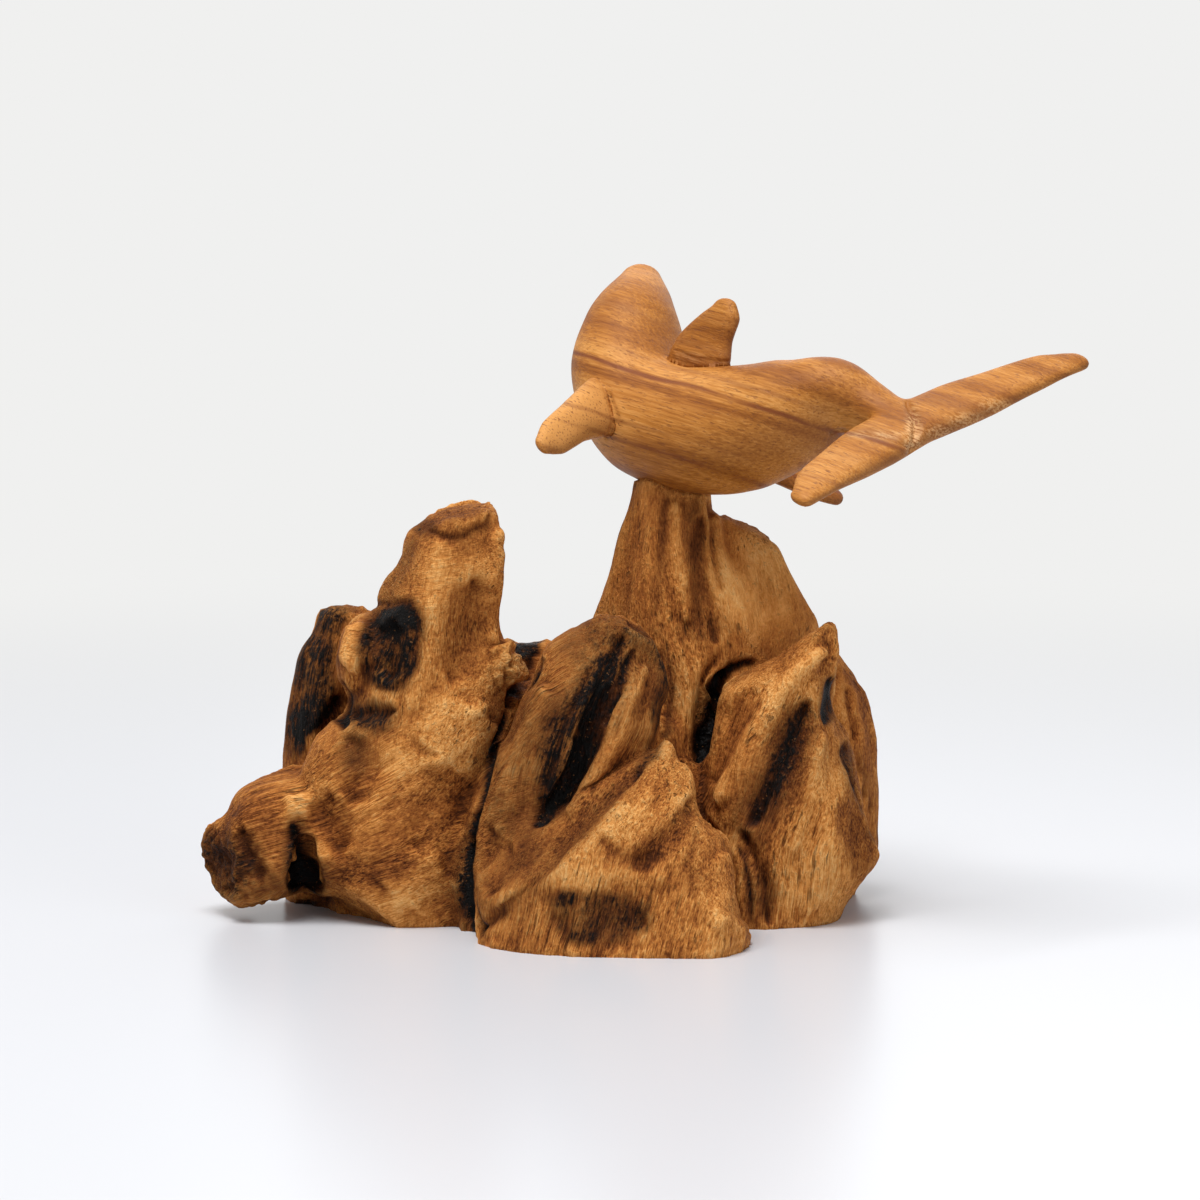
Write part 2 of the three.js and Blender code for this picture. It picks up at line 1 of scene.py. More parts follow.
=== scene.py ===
"""Looks of a carved wooden dolphin on a gnarled root: worked skins, wood, floor, lamps and camera."""

import math
from collections import namedtuple

import bmesh
import bpy
import numpy as np
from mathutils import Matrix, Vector, noise
from mathutils.bvhtree import BVHTree

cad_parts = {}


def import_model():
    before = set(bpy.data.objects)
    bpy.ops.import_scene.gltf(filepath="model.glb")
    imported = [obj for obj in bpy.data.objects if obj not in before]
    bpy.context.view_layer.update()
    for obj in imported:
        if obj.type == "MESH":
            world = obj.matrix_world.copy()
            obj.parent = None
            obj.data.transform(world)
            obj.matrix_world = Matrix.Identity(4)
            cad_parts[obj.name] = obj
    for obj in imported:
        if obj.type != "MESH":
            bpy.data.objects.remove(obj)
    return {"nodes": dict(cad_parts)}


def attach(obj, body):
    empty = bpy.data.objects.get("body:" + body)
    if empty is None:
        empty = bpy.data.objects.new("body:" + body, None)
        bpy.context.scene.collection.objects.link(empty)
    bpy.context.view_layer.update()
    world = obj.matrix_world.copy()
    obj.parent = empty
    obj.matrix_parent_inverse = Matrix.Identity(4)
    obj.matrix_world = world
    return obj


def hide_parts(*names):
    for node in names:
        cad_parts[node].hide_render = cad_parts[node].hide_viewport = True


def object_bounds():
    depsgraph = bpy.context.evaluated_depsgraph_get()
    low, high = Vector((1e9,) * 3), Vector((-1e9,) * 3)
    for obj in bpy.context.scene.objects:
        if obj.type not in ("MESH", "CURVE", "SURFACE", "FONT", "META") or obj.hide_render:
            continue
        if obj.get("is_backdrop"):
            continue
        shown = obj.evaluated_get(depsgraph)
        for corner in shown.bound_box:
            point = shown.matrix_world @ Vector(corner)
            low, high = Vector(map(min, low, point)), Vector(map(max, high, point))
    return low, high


MM = 0.001
# Least length and weight to divide by
TINY = 1e-9
LEAST_WEIGHT = 1e-6

# Where the photograph was taken from, in mm and pixels
CAMERA_PLACE = np.array((8.0, -795.6, 147.6))
CAMERA_TARGET = np.array((8.0, 0.0, 64.0))
PICTURE_PX = 1200.0
FOCAL_PX = 4000.0
SENSOR_MM = 36.0

# Sizes of the skins' cells, and how far smoothing may move the dolphin's points, in mm
ROOT_VOXEL = 0.52
BODY_VOXEL = 0.36
FIN_VOXEL = 0.22
BODY_SMOOTHING = 0.35
FIN_SMOOTHING = 0.3

# Cells that tell what the photograph shows: their size in px, and a surface's depth in mm
SEEN_CELL_PX = 6
SEEN_SLACK = 6.0

# Glue lines: how near a piece's carrier its glued face lies, and how far that sinks in, in mm
GLUE_REACH = 0.7
GLUE_SINK = 0.08

# How high above the sawn underside a point still belongs to it, in mm
SAWN_HEIGHT = 0.5

# Axes that the root's fibres follow: points in mm, and the limb's radius
LIMBS = {
    "stump": (((-32, 3, -6), (-28, 0, 36), (-24.5, -2, 62), (-20, -4, 81)), 16),
    "stump_top": (((-48, -4, 69), (-4, -4, 75)), 15),
    "stump_low": (((-52, -4, 4), (-6, -12, 22)), 14),
    "ear": (((-42, 20, -6), (-46, 17, 43), (-44, 17, 58)), 11),
    "snag": (((-4, -14, 52), (-22, -8, 32), (-44, -2, 19), (-66, -2, 12.8)), 14),
    "middle": (((-9, -14, -6), (1.2, -13, 30), (11.5, -12.5, 58)), 14),
    "foot": (((10, -28, -6), (17, -25, 20), (24.5, -20, 36)), 18),
    "horn": (((37.5, 2, -6), (40, 0, 18), (44.5, 0, 31), (53.4, -3, 57)), 15),
    "rear_lobe": (((39, 26, -6), (46.5, 24, 39), (46, 24, 46)), 12),
    "post": (((25, 16, 4), (25, 16, 43), (22.4, 15.5, 73), (23, 15.5, 90)), 14),
    "shoulder": (((37, 18, 20), (38.5, 18.5, 58), (35.5, 19, 74)), 9),
    "left_back": (((-12, 18, 46), (-17, 27, 32), (-32, 43, 0)), 10),
    "middle_back": (((-1, 40, -6), (1, 33, 26)), 11),
    "right_back": (((22.5, 21, 66), (22, 28, 45), (18, 42, 0)), 10),
    "ridge": (((-24, 10, 46), (-8, 19, 46), (8, 20, 46)), 8),
}

# How limbs' fibres meet: mm over which two cross over, and over which a third shuts that off
LIMB_BLEND = 6.0
THIRD_LIMB_BLEND = 3.0
# A way that no limb runs, and how far apart in the noise the limbs lie
ACROSS_LIMBS = (0.31, 0.9, 0.3)
LIMB_APART = 37.0

# A line on the photograph: its pixels, half-width in px, depth in mm (below 0 for a ridge), darkness
Line = namedtuple("Line", "pixels half_width depth darkness", defaults=(0.0,))

# A patch on the photograph: middle and half-sizes in px, strength, softness, and least y in mm
Patch = namedtuple("Patch", "u v half_u half_v strength soft behind", defaults=(0.5, -100.0))

# How wide a line ends and how far its darkness spreads, as shares of its half-width
LINE_END = 0.35
DARK_SPREAD = 1.25
# How far inside its edge a patch is full, as a share of its softness
PATCH_FULL = 1.1


def named(kind, **rows):
    """Rows of numbers as things of one kind, by name."""
    return {name: kind(*row) for name, row in rows.items()}


# Cracks, burns and crests of the root, and painted shade in its holes, folds and valley and along the
# middle lobe's rim
ROOT_LINES = named(
    Line,
    stump_crack_head=(((538, 655), (529, 676), (517, 691), (511, 708)), 6, 2.0, 1.0),
    stump_crack=(((515, 697), (506, 719), (496, 743), (489, 767), (485, 789), (476, 815)), 2.6, 1.2, 1.0),
    stump_crack_low=(((480, 804), (474, 822), (469, 841), (466, 856)), 3, 1.2, 1.0),
    stump_crack_foot=(
        ((469, 838), (464, 866), (462, 890), (464, 906), (472, 924), (480, 932)), 8, 2.4, 1.0
    ),
    middle_burn=(((622, 636), (598, 705), (583, 747), (560, 795), (535, 824)), 11, 2.2, 0.94),
    middle_burn_shade=(((606, 655), (578, 705), (557, 752), (542, 800)), 16, 0.0, 0.85),
    middle_burn_left=(((588, 672), (566, 720), (552, 763), (537, 815)), 4, 1.0, 0.85),
    middle_burn_right=(((634, 650), (618, 687), (603, 722)), 4, 1.2, 0.85),
    middle_burn_rib=(((574, 742), (550, 804)), 3, -1.2, 0.8),
    middle_burn_high_rib=(((612, 668), (594, 726)), 2.5, -1.0, 0.7),
    middle_right_crest=(((626, 630), (650, 646), (664, 676), (665, 704)), 6, -0.9),
    middle_high_streak=(((606, 634), (588, 676), (578, 700)), 5, 0.4, 0.55),
    middle_right_streak=(((642, 655), (628, 700), (612, 738)), 4, 0.4, 0.45),
    middle_left_crest=(((505, 770), (488, 830), (478, 885)), 5, -0.6),
    # Painted shade inside the middle lobe's rim and along its edge
    middle_rim=(((622, 627), (647, 640), (662, 668), (664, 706), (658, 736)), 8, 0.0, 0.74),
    middle_rim_edge=(((628, 622), (654, 638), (670, 670), (671, 706)), 3, 0.9, 0.7),
    middle_edge=(((667, 692), (665, 727), (652, 753), (630, 776)), 5, 0.4, 0.75),
    # Painted shade in the valley between the middle lobe and the foot
    foot_valley=(((637, 770), (593, 813), (560, 847), (517, 897), (482, 927)), 9, 1.4, 0.42),
    post_crevice=(((722, 674), (708, 697), (703, 730), (699, 758)), 6, 4.0, 1.0),
    post_crevice_head=(((752, 662), (734, 668), (718, 682)), 5, 2.2, 0.95),
    post_crevice_crest=(((750, 672), (732, 694), (720, 730), (712, 775)), 8, -0.3),
    horn_burn=(((806, 706), (787, 756), (766, 798), (752, 822)), 13, 2.2, 0.88),
    horn_spot=(((832, 680), (827, 723)), 6, 1.2, 0.95),
    horn_right_burn=(((843, 745), (857, 780), (868, 812)), 6, 1.6, 0.72),
    horn_right_crest=(((822, 735), (806, 800), (794, 850)), 10, -1.1),
    horn_crest=(((835, 640), (838, 690), (846, 740)), 5, -0.7),
    foot_edge_crack=(((738, 846), (746, 860), (751, 888), (750, 930)), 3, 1.0, 0.8),
    # Painted shade in the folds below the foot's bulge
    foot_fold=(((600, 840), (614, 853), (632, 861), (652, 851), (678, 830), (694, 812)), 11, 0.9, 0.2),
    foot_fold_right=(((697, 830), (689, 863), (694, 895)), 7, 0.8, 0.2),
    foot_bulge=(((648, 798), (626, 826)), 20, -1.0),
    foot_right_crest=(((676, 745), (694, 788), (720, 832), (736, 856)), 5, -0.5),
    # Painted shade in the snag's hole and in the hollow by the ear
    snag_hole_top=(((293, 826), (303, 866)), 7, 1.6, 1.0),
    snag_hole=(((303, 858), (305, 900)), 14, 2.6, 1.0),
    ear_hollow=(((345, 686), (340, 726)), 8, 2.0, 1.0),
    knot_rim=(((372, 604), (408, 604), (417, 630), (413, 664), (398, 687), (376, 688)), 5, 0.8, 0.7),
    knot_crest=(((430, 600), (430, 640), (424, 675), (408, 704)), 9, -0.4),
    knot_left_crest=(((352, 628), (345, 660), (352, 690)), 8, -1.0),
    stump_streak=(((476, 583), (470, 620), (452, 675)), 15, 0.0, 0.2),
    stump_left_shade=(((413, 540), (385, 600)), 8, 0.0, 0.35),
    stump_top_ring=(((428, 532), (457, 537), (487, 525), (491, 512)), 3, 0.8, 0.42),
    torn_ledge=(((497, 644), (508, 662), (512, 682)), 8, -2.4, 0.1),
    post_streak=(((694, 500), (696, 560), (702, 625)), 6, 0.5, 0.4),
    post_left_streak=(((668, 500), (660, 560), (655, 620)), 4, 0.3, 0.25),
    post_step=(((709, 503), (714, 545), (722, 590)), 5, 1.0, 0.15),
)

# Broad hollows and swellings between those lines
ROOT_FORMS = named(
    Line,
    stump_ridge=(((440, 545), (434, 600), (430, 655), (412, 705)), 19, -0.7),
    stump_panel=(((476, 585), (468, 630), (454, 680)), 19, 1.5),
    stump_right_crest=(((497, 530), (496, 590), (494, 640)), 9, -1.2),
    stump_belly=(((478, 712), (440, 760)), 36, -2.2),
    stump_low_belly=(((430, 860), (400, 900)), 34, -1.4),
    stump_hollow=(((350, 742), (366, 772), (352, 800)), 18, 1.3),
    knot_boss=(((362, 628), (358, 665)), 16, -1.8),
    knot_dish=(((392, 628), (388, 676)), 14, 1.8),
    knot_under=(((352, 712), (392, 712)), 9, 1.4),
    snag_neck=(((326, 800), (338, 850)), 18, 1.3),
    snag_boss=(((292, 800), (304, 812)), 16, -1.4),
    snag_waist=(((240, 830), (262, 880)), 9, 1.2),
    snag_face=(((216, 852), (228, 890)), 16, 1.4),
    middle_left_bank=(((545, 690), (518, 760), (500, 830)), 16, -1.3),
    middle_right_bank=(((640, 668), (610, 748), (570, 812)), 12, -1.6),
    middle_low_hollow=(((505, 845), (488, 890)), 16, 1.2),
    foot_ridge=(((668, 744), (632, 790), (572, 852), (505, 905)), 15, -0.9),
    foot_front=(((560, 922), (640, 922)), 28, 1.1),
    foot_brow=(((500, 908), (545, 880), (600, 870), (660, 878)), 18, -0.7),
    foot_hollow=(((694, 800), (672, 838), (640, 866)), 13, 1.2),
    foot_right_rib=(((722, 856), (724, 890), (718, 925)), 13, -0.9),
    horn_left_crest=(((822, 652), (780, 692), (745, 752), (722, 800)), 12, -1.8),
    horn_left_dish=(((752, 690), (726, 742), (712, 782)), 14, 0.7),
    horn_low_valley=(((742, 835), (764, 880), (770, 920)), 9, 1.6),
    horn_panel=(((846, 770), (826, 850), (808, 910)), 16, -1.4),
    rear_split=(((846, 690), (855, 740)), 7, 0.9),
    post_crest=(((676, 505), (678, 560), (686, 620)), 10, -0.9),
    post_valley=(((700, 520), (704, 580), (716, 640)), 9, 1.0),
)

# Open valleys of the CAD that are drawn together: where the split is, and under the middle lobe
CLOSED_VALLEYS = [line.pixels for name, line in ROOT_LINES.items() if name.startswith("stump_crack")]
CLOSED_VALLEYS.append(((578, 814), (540, 826), (511, 836), (490, 862), (481, 888)))
CLOSED_REACH_PX = 16.0
CLOSED_ROUNDS = 140

# Small shifts across the picture that bring the root's outline onto the photograph's, in px
Nudge = namedtuple("Nudge", "u v to_u to_v reach")
ROOT_NUDGES = named(
    Nudge,
    stump_top_left=(426, 503, 429, 515, 25),
    stump_top_right=(494, 516, 496, 505, 25),
    stump_left=(387, 558, 396, 558, 20),
    horn_tip=(828, 634, 833, 627, 22),
    ear_top=(310, 626, 317, 629, 25),
    ear_side=(288, 682, 293, 682, 30),
    snag_top=(212, 808, 223, 816, 24),
    snag_low=(250, 898, 250, 907, 25),
    crack_head=(516, 682, 526, 682, 22),
    crack_high=(497, 730, 507, 730, 26),
    crack_middle=(486, 765, 490, 765, 16),
    crack_low=(481, 812, 476, 812, 22),
    crack_foot=(473, 875, 465, 875, 26),
    foot_tip_side=(688, 751, 680, 757, 12),
    foot_shoulder=(718, 808, 709, 816, 22),
    shoulder_notch=(719, 532, 722, 519, 16),
    shoulder_top=(768, 522, 766, 533, 18),
    horn_side=(734, 690, 714, 688, 24),
    horn_low_side=(714, 730, 706, 730, 20),
    rear_top=(860, 666, 858, 679, 20),
    rear_side=(885, 766, 879, 766, 25),
    rear_low=(873, 850, 880, 853, 22),
)

# Burnt and stained places of the root, with painted shade in its holes and gaps, and places where it is
# lighter, partly painted highlight
ROOT_STAINS_AND_SHADE = named(
    Patch,
    knot_black=(396, 622, 28, 20, 1.0),
    knot_mid=(388, 650, 32, 42, 0.82, 0.22),
    knot_right=(408, 655, 9, 30, 0.9),
    knot_under=(371, 718, 26, 17, 0.8),
    knot_tail=(354, 750, 17, 26, 0.55),
    knot_left=(335, 658, 8, 12, 0.5),
    # Painted shade in the gap between the ear and the stump
    ear_black=(316, 726, 34, 42, 0.95, 0.4, 4.0),
    ear_brown=(318, 650, 46, 70, 0.8, 0.5, 4.0),
    stump_top_left=(425, 528, 12, 11, 0.6),
    stump_top=(463, 516, 42, 17, 0.14),
    snag_end=(232, 868, 36, 38, 0.66, 0.35),
    snag_end_left=(210, 850, 13, 18, 0.72),
    snag_under=(262, 885, 28, 20, 0.5),
    # Painted shade in the snag's hole
    hole_side=(297, 862, 14, 42, 0.85),
    hole_foot=(306, 899, 17, 12, 0.95),
    foot_knot=(598, 918, 50, 27, 0.72, 0.25),
    foot_knot_left=(568, 900, 22, 11, 0.78),
    foot_knot_right=(638, 918, 14, 18, 0.78),
    foot_knot_low=(588, 936, 28, 9, 0.78),
    horn_foot=(764, 890, 14, 28, 0.5),
    horn_right=(860, 846, 14, 34, 0.22),
    horn_right_spot=(872, 834, 10, 9, 0.45),
    middle_burn_halo=(558, 752, 28, 64, 0.72),
    middle_burn_top=(606, 676, 30, 46, 0.62),
    middle_burn_foot=(528, 845, 22, 34, 0.45),
    middle_right=(640, 700, 18, 52, 0.2),
    horn_burn_foot=(750, 818, 20, 28, 0.55),
    middle_left=(520, 780, 40, 130, 0.46),
    middle_top=(605, 646, 52, 34, 0.56),
    middle_edge_black=(660, 708, 11, 28, 0.75),
    middle_low=(482, 885, 14, 45, 0.36),
    # Painted shade in the gap behind the middle lobe
    gap_behind_middle=(536, 650, 34, 15, 0.88, 0.4, 2.0),
    post_blotch=(704, 628, 26, 14, 0.3),
)

# Lighter golden places: partly lighter worn wood, partly painted highlight on faces that the lamp lights
ROOT_GOLD_AND_HIGHLIGHTS = named(
    Patch,
    stump_high=(450, 568, 32, 24, 0.5),
    stump_rib=(438, 640, 24, 60, 0.2),
    stump_low=(455, 735, 32, 42, 0.6),
    stump_left_low=(398, 762, 36, 14, 0.45),
    stump_foot=(430, 900, 40, 24, 0.45),
    ledge=(507, 672, 14, 26, 0.5),
    snag_boss=(300, 798, 24, 20, 0.5),
    # Painted highlight on the foot's lit bulge
    foot_bulge=(628, 824, 24, 20, 0.75),
    foot_apex=(672, 775, 24, 30, 0.4),
    foot_toe=(510, 915, 28, 26, 0.6),
    foot_brow=(588, 878, 34, 12, 0.5),
    foot_right=(705, 910, 42, 40, 0.3),
    horn_left=(765, 705, 36, 42, 0.2),
    horn_crest=(826, 780, 18, 36, 0.65),
    horn_panel=(814, 868, 36, 56, 0.9),
    # Painted highlight on the lit shoulder
    shoulder=(752, 580, 46, 56, 1.0),
    post_foot=(690, 676, 17, 44, 0.6),
    horn_middle=(780, 690, 30, 24, 0.5),
)

# Splintered places of the root: strength is the height of the splinters in mm
ROOT_TORN = named(
    Patch,
    ledge=(506, 664, 17, 28, 1.5),
    hole_rim=(292, 822, 20, 12, 0.3),
    snag_under=(262, 900, 40, 10, 1.0),
    snag_tip=(208, 842, 14, 26, 0.9),
    snag_face=(236, 870, 44, 38, 0.8),
    crevice_rim=(734, 672, 18, 8, 0.5),
)

# Waves of a surface: size in mm (three to run across and along limbs), height in mm, start in the noise
Wave = namedtuple("Wave", "size height start", defaults=(0.0,))
STRANDS = Wave(np.array((1.6, 1.6, 22.0)), 0.16)
CORDS = Wave(np.array((4.5, 4.5, 40.0)), 0.3)
SWELL = Wave(13.0, 0.5)
LUMPS = Wave(8.0, 0.9, 90.0)
HILLS = Wave(18.0, 1.3, 150.0)
SPLINTERS = Wave(1.6, 1.0)
SHARDS = Wave(3.5, 0.6)
BURLS = Wave(11.0, 1.0, 200.0)
SPLIT_LINES = Wave(np.array((8.0, 8.0, 70.0)), 1.0)
SPLIT_GAPS = Wave(19.0, 1.0, 300.0)
FACETS = Wave(5.0, 0.07)
CHATTER = Wave(0.9, 0.25)
# How far the root sinks under its waves and how deep its hidden splits are in mm, and how burnt
ROOT_SINK = 0.15
SPLIT_DEPTH = 2.2
SPLIT_CHAR = 0.95
# How wide a split is where it starts and how much wider where it gapes, as values of its wave
SPLIT_START = 0.02
SPLIT_GAPE = 0.07
# How much a crest keeps a burl away, so that hidden burns lean into hollows as painted shade and hidden
# gold leans onto crests as painted highlight
CREST_OFF_BURL = 0.5

# Ragged edges: waves that shift what is drawn, and how far in px
WANDER_WAVES = (Wave(6.0, 1.0), Wave(2.0, 0.4))
WANDER_STARTS = (0.0, 50.0)
FORM_WANDER_PX = 3.0
LINE_WANDER_PX = 2.5
TOOL_WANDER_PX = 1.2

# A smooth rise from 0 at the low value to the top at the high one
Rise = namedtuple("Rise", "low high top", defaults=(1.0,))
SQUARE_TO_VIEW = Rise(0.0, 0.3)
EDGE_ON_TO_VIEW = Rise(-0.3, 0.1)
AWAY_FROM_VIEW = Rise(0.05, 0.4)
IN_FRONT = Rise(8.0, 2.0)
SPLIT_OPENS = Rise(0.0, 0.35)
SAWN_RIM_TORN = Rise(5.0, 1.0, 0.35)
BROKEN_TOP_TORN = Rise(0.4, 0.8, 0.7)
BURL_CHAR = Rise(0.35, 0.9)
# Painted shade that darkens broad hollows
HOLLOW_SHADE = Rise(1.3, 2.8, 0.85)
# Dark cracks in tight creases, partly painted shade
GROOVE_CHAR_AND_SHADE = Rise(0.3, 0.6, 0.75)
BURL_GOLD = Rise(0.0, 0.6, 0.5)
CALM_BACK = Rise(2.0, 10.0)
CALM_TOP = Rise(38.0, 48.0)

# How far the photograph shows each point squarely, or at all, and how far it faces away
Seen = namedtuple("Seen", "square shown hidden")

# Crests: rounds of smoothing that they stand out from, and the height in mm that counts as full
CREST_ROUNDS = 12
CREST_FULL = 0.25
BROAD_CREST_ROUNDS = 95
BROAD_CREST_FULL = 1.2

# Fibres and growth rings of the dolphin's wood: the way they run, and lines at ring places in mm
FIBRE_WAY = np.array((0.71, -0.68, -0.14))
RING_WAY = np.array((0.32, 0.09, 0.94))
RingLine = namedtuple("RingLine", "place half_width strength")
RING_LINES = named(
    RingLine,
    flank=(108.9, 0.45, 0.92),
    flank_band=(105.5, 2.6, 0.24),
    shoulder=(112.2, 0.45, 0.45),
    neck=(117.2, 1.2, 0.3),
    head=(121.6, 1.5, 0.5),
    snout=(126.5, 1.0, 0.25),
    fluke=(98.4, 0.4, 0.55),
    flipper=(94.8, 0.4, 0.6),
    belly=(88.0, 0.6, 0.18),
)

# How far a ring line's fade and core reach, as shares of its half-width
RING_FADE = 1.8
RING_CORE = 0.3

# How far each fin's wood is shifted across the rings, in mm
FIN_TURNS = {"dorsal_fin": 3.0, "left_flipper": 0.0, "right_flipper": 9.0}

# Tool lines cut in the dolphin, some darkened as painted shadow, pale nicks, and painted highlights on the
# flipper, the near fluke and the head
DOLPHIN_LINES = named(
    Line,
    # The fluke's crease and notch: cut lines, darkened partly as painted shadow along the fluke's edge
    fluke_crease=(((832, 433), (866, 431), (892, 438), (910, 447)), 3.5, 0.7, 0.55),
    fluke_notch=(((907, 402), (916, 420), (915, 446), (908, 466)), 4, 1.1, 0.4),
    # Painted shadow below the flipper's shoulder
    flipper_shoulder=(((609, 392), (616, 418), (606, 440)), 3, 0.35, 0.14),
    dorsal_foot=(((676, 350), (700, 360), (734, 362)), 2.5, 0.25, 0.3),
)
DOLPHIN_PALE = named(
    Patch,
    notch=(913, 434, 8, 24, 0.6),
    far_fluke_root=(940, 432, 16, 7, 0.3),
    far_fluke_edge=(968, 420, 18, 7, 0.3),
    far_fluke_tip=(996, 406, 16, 7, 0.3),
    dorsal_foot=(690, 357, 14, 5, 0.2),
    fluke_root=(870, 434, 34, 4, 0.4),
)
# Painted highlights on the lit tops of the flipper, the near fluke and the head
DOLPHIN_HIGHLIGHTS = named(
    Patch,
    flipper=(578, 424, 50, 40, 0.9),
    near_fluke=(826, 466, 54, 28, 0.4),
    head=(618, 300, 40, 40, 0.25),
)


def linear(red, green, blue):
    """A shader colour from 0 to 255 display values."""
    parts = [c / 255 for c in (red, green, blue)]
    parts = [c / 12.92 if c <= 0.04045 else ((c + 0.055) / 1.055) ** 2.4 for c in parts]
    return (*parts, 1.0)


# Colours of the woods: tones from dark to light, and what marks them
ROOT_TONES = (
    (0.20, linear(66, 31, 9)),
    (0.36, linear(114, 61, 24)),
    (0.51, linear(158, 93, 41)),
    (0.66, linear(194, 124, 58)),
    (0.82, linear(222, 154, 82)),
    (0.98, linear(236, 178, 108)),
)
PALE_TONES = (
    (0.44, linear(127, 71, 19)),
    (0.56, linear(158, 96, 34)),
    (0.66, linear(182, 118, 50)),
    (0.80, linear(208, 146, 76)),
)
DOWEL_TONES = ((0.35, linear(158, 112, 62)), (0.65, linear(206, 166, 112)))
PIT_BROWN = linear(74, 42, 22)
# Stain brown and soot black, also laid as painted shade in holes, gaps, folds, hollows and creases
STAIN_AND_SHADE_BROWN = linear(52, 24, 9)
SOOT_AND_SHADE_BLACK = linear(9, 7, 6)
CHIP_TAN = linear(150, 100, 56)
CHECK_BROWN = linear(52, 26, 11)
RING_BROWN = linear(118, 60, 26)
PORE_BROWN = linear(116, 64, 30)
END_BROWN = linear(120, 72, 36)
# Tool brown, also laid as painted shadow below the flipper's shoulder and along the fluke's crease and
# notch
TOOL_AND_SHADOW_BROWN = linear(110, 60, 28)
TORN_PALE = linear(236, 192, 138)

# Streaks along the fibres: waves to the mm in three ways, weight in the tone, and kind of noise
Streaks = namedtuple("Streaks", "scale weight detail roughness distortion", defaults=(1.0, 3.0, 0.55, 0.0))
ROOT_BROAD = Streaks((0.09, 0.09, 0.02), 0.5)
ROOT_BANDS = Streaks((0.38, 0.38, 0.018), 0.4)
ROOT_FIBRE = Streaks((1.7, 1.7, 0.13), 0.55, 3.0, 0.65)
ROOT_HAIR = Streaks((3.8, 3.8, 0.3), 0.85, 2.0, 0.6)
ROOT_CHECKS = Streaks((1.5, 1.5, 0.045), 0.62, 2.0)
PALE_BANDS = Streaks((0.02, 0.22, 0.006), 0.7, 3.0, 0.5, 0.25)
PALE_FINE = Streaks((1.8, 2.4, 0.12), 0.5, 3.0, 0.65)
PALE_PORES = Streaks((2.6, 2.6, 0.42), 1.0, 2.0)
RING_WANDER = Streaks((0.06, 0.03, 0.03), 3.0, 2.0)
RING_PATCHES = Streaks((0.12, 0.3, 0.035), 1.0, 1.0)

# The dowel's streaks, and spots: waves to the metre, weight in the tone, and detail
DOWEL_STREAKS = Streaks((1400.0, 1400.0, 60.0))
Spots = namedtuple("Spots", "scale weight detail")
BLOTCHES = Spots(60.0, 0.6, 3.0)
SPECKS = Spots(1100.0, 0.5, 2.0)
RAGGED = Spots(260.0, 0.7, 3.0)
CHIPS = Spots(1500.0, 0.5, 1.0)
CHECK_PLACES = Spots(90.0, 1.0, 2.0)
SPOT_ROUGHNESS = 0.6

# The root's tone, the weight and middle of what is painted on it, and how calm its back is; crests painted
# lighter and hollows darker are painted highlight and shade
ROOT_TONE = 0.6
PAINTED_TONES = {"broad_crest": (0.14, 0.0), "crest": (0.09, 0.0), "gold_and_highlight": (0.3, 0.25)}
CALMING = 0.5
# How far fibres, stains and soot, with the painted shade among them, follow ragged edges
RAGGED_FIBRE = 1.1
STAIN_RAGGED = 1.8
STAIN_SHARE = 1.1
SOOT_RAGGED = 0.7
# How strongly pits, painted highlights, pores, end grain and tool lines with their painted shadow show
PIT_SHARE = 0.35
HIGHLIGHT_SHARE = 0.22
PORE_SHARE = 0.55
HIGHLIGHT_PORE_SHARE = 0.35
END_SHARE = 0.5
END_POWER = 3
TOOL_SHARE = 0.8
# Heights of the root's hairs, specks and checks, and of the dolphin's pores, beside their fibres
ROOT_HEIGHTS = (0.7, 0.4, -0.7)
PORE_HEIGHT = 0.8
# Roughness of the woods, what fibres add and what soot takes off
ROOT_ROUGH = 0.62
PALE_ROUGH = 0.42
FIBRE_ROUGH = 0.2
SOOT_GLOSS = 0.25

# The backdrop and sky, and the floor: its size in m, its colours and where it fades away
BACKDROP = linear(240, 240, 239)
SKY = linear(244, 246, 250)
SKY_STRENGTH = 0.36
FLOOR_RADIUS = 8.0
FLOOR_SIDES = 96
FLOOR_NEAR = linear(207, 208, 212)
FLOOR_FAR = linear(212, 213, 216)
FLOOR_TINT_REACH = 0.5
FADE_START = 0.16
FADE_END = 0.7


def unit(vector):
    return vector / np.linalg.norm(vector)


def smoothstep(low, high, values):
    t = np.clip((values - low) / (high - low), 0, 1)
    return t * t * (3 - 2 * t)


def risen(values, rise):
    return rise.top * smoothstep(rise.low, rise.high, values)


def noise_at(points, size):
    """Perlin noise of points in mm, with waves of that size."""
    return np.array([noise.noise(p) for p in (points / size).tolist()])


def wave_at(points, wave):
    return wave.height * noise_at(points + wave.start, wave.size)


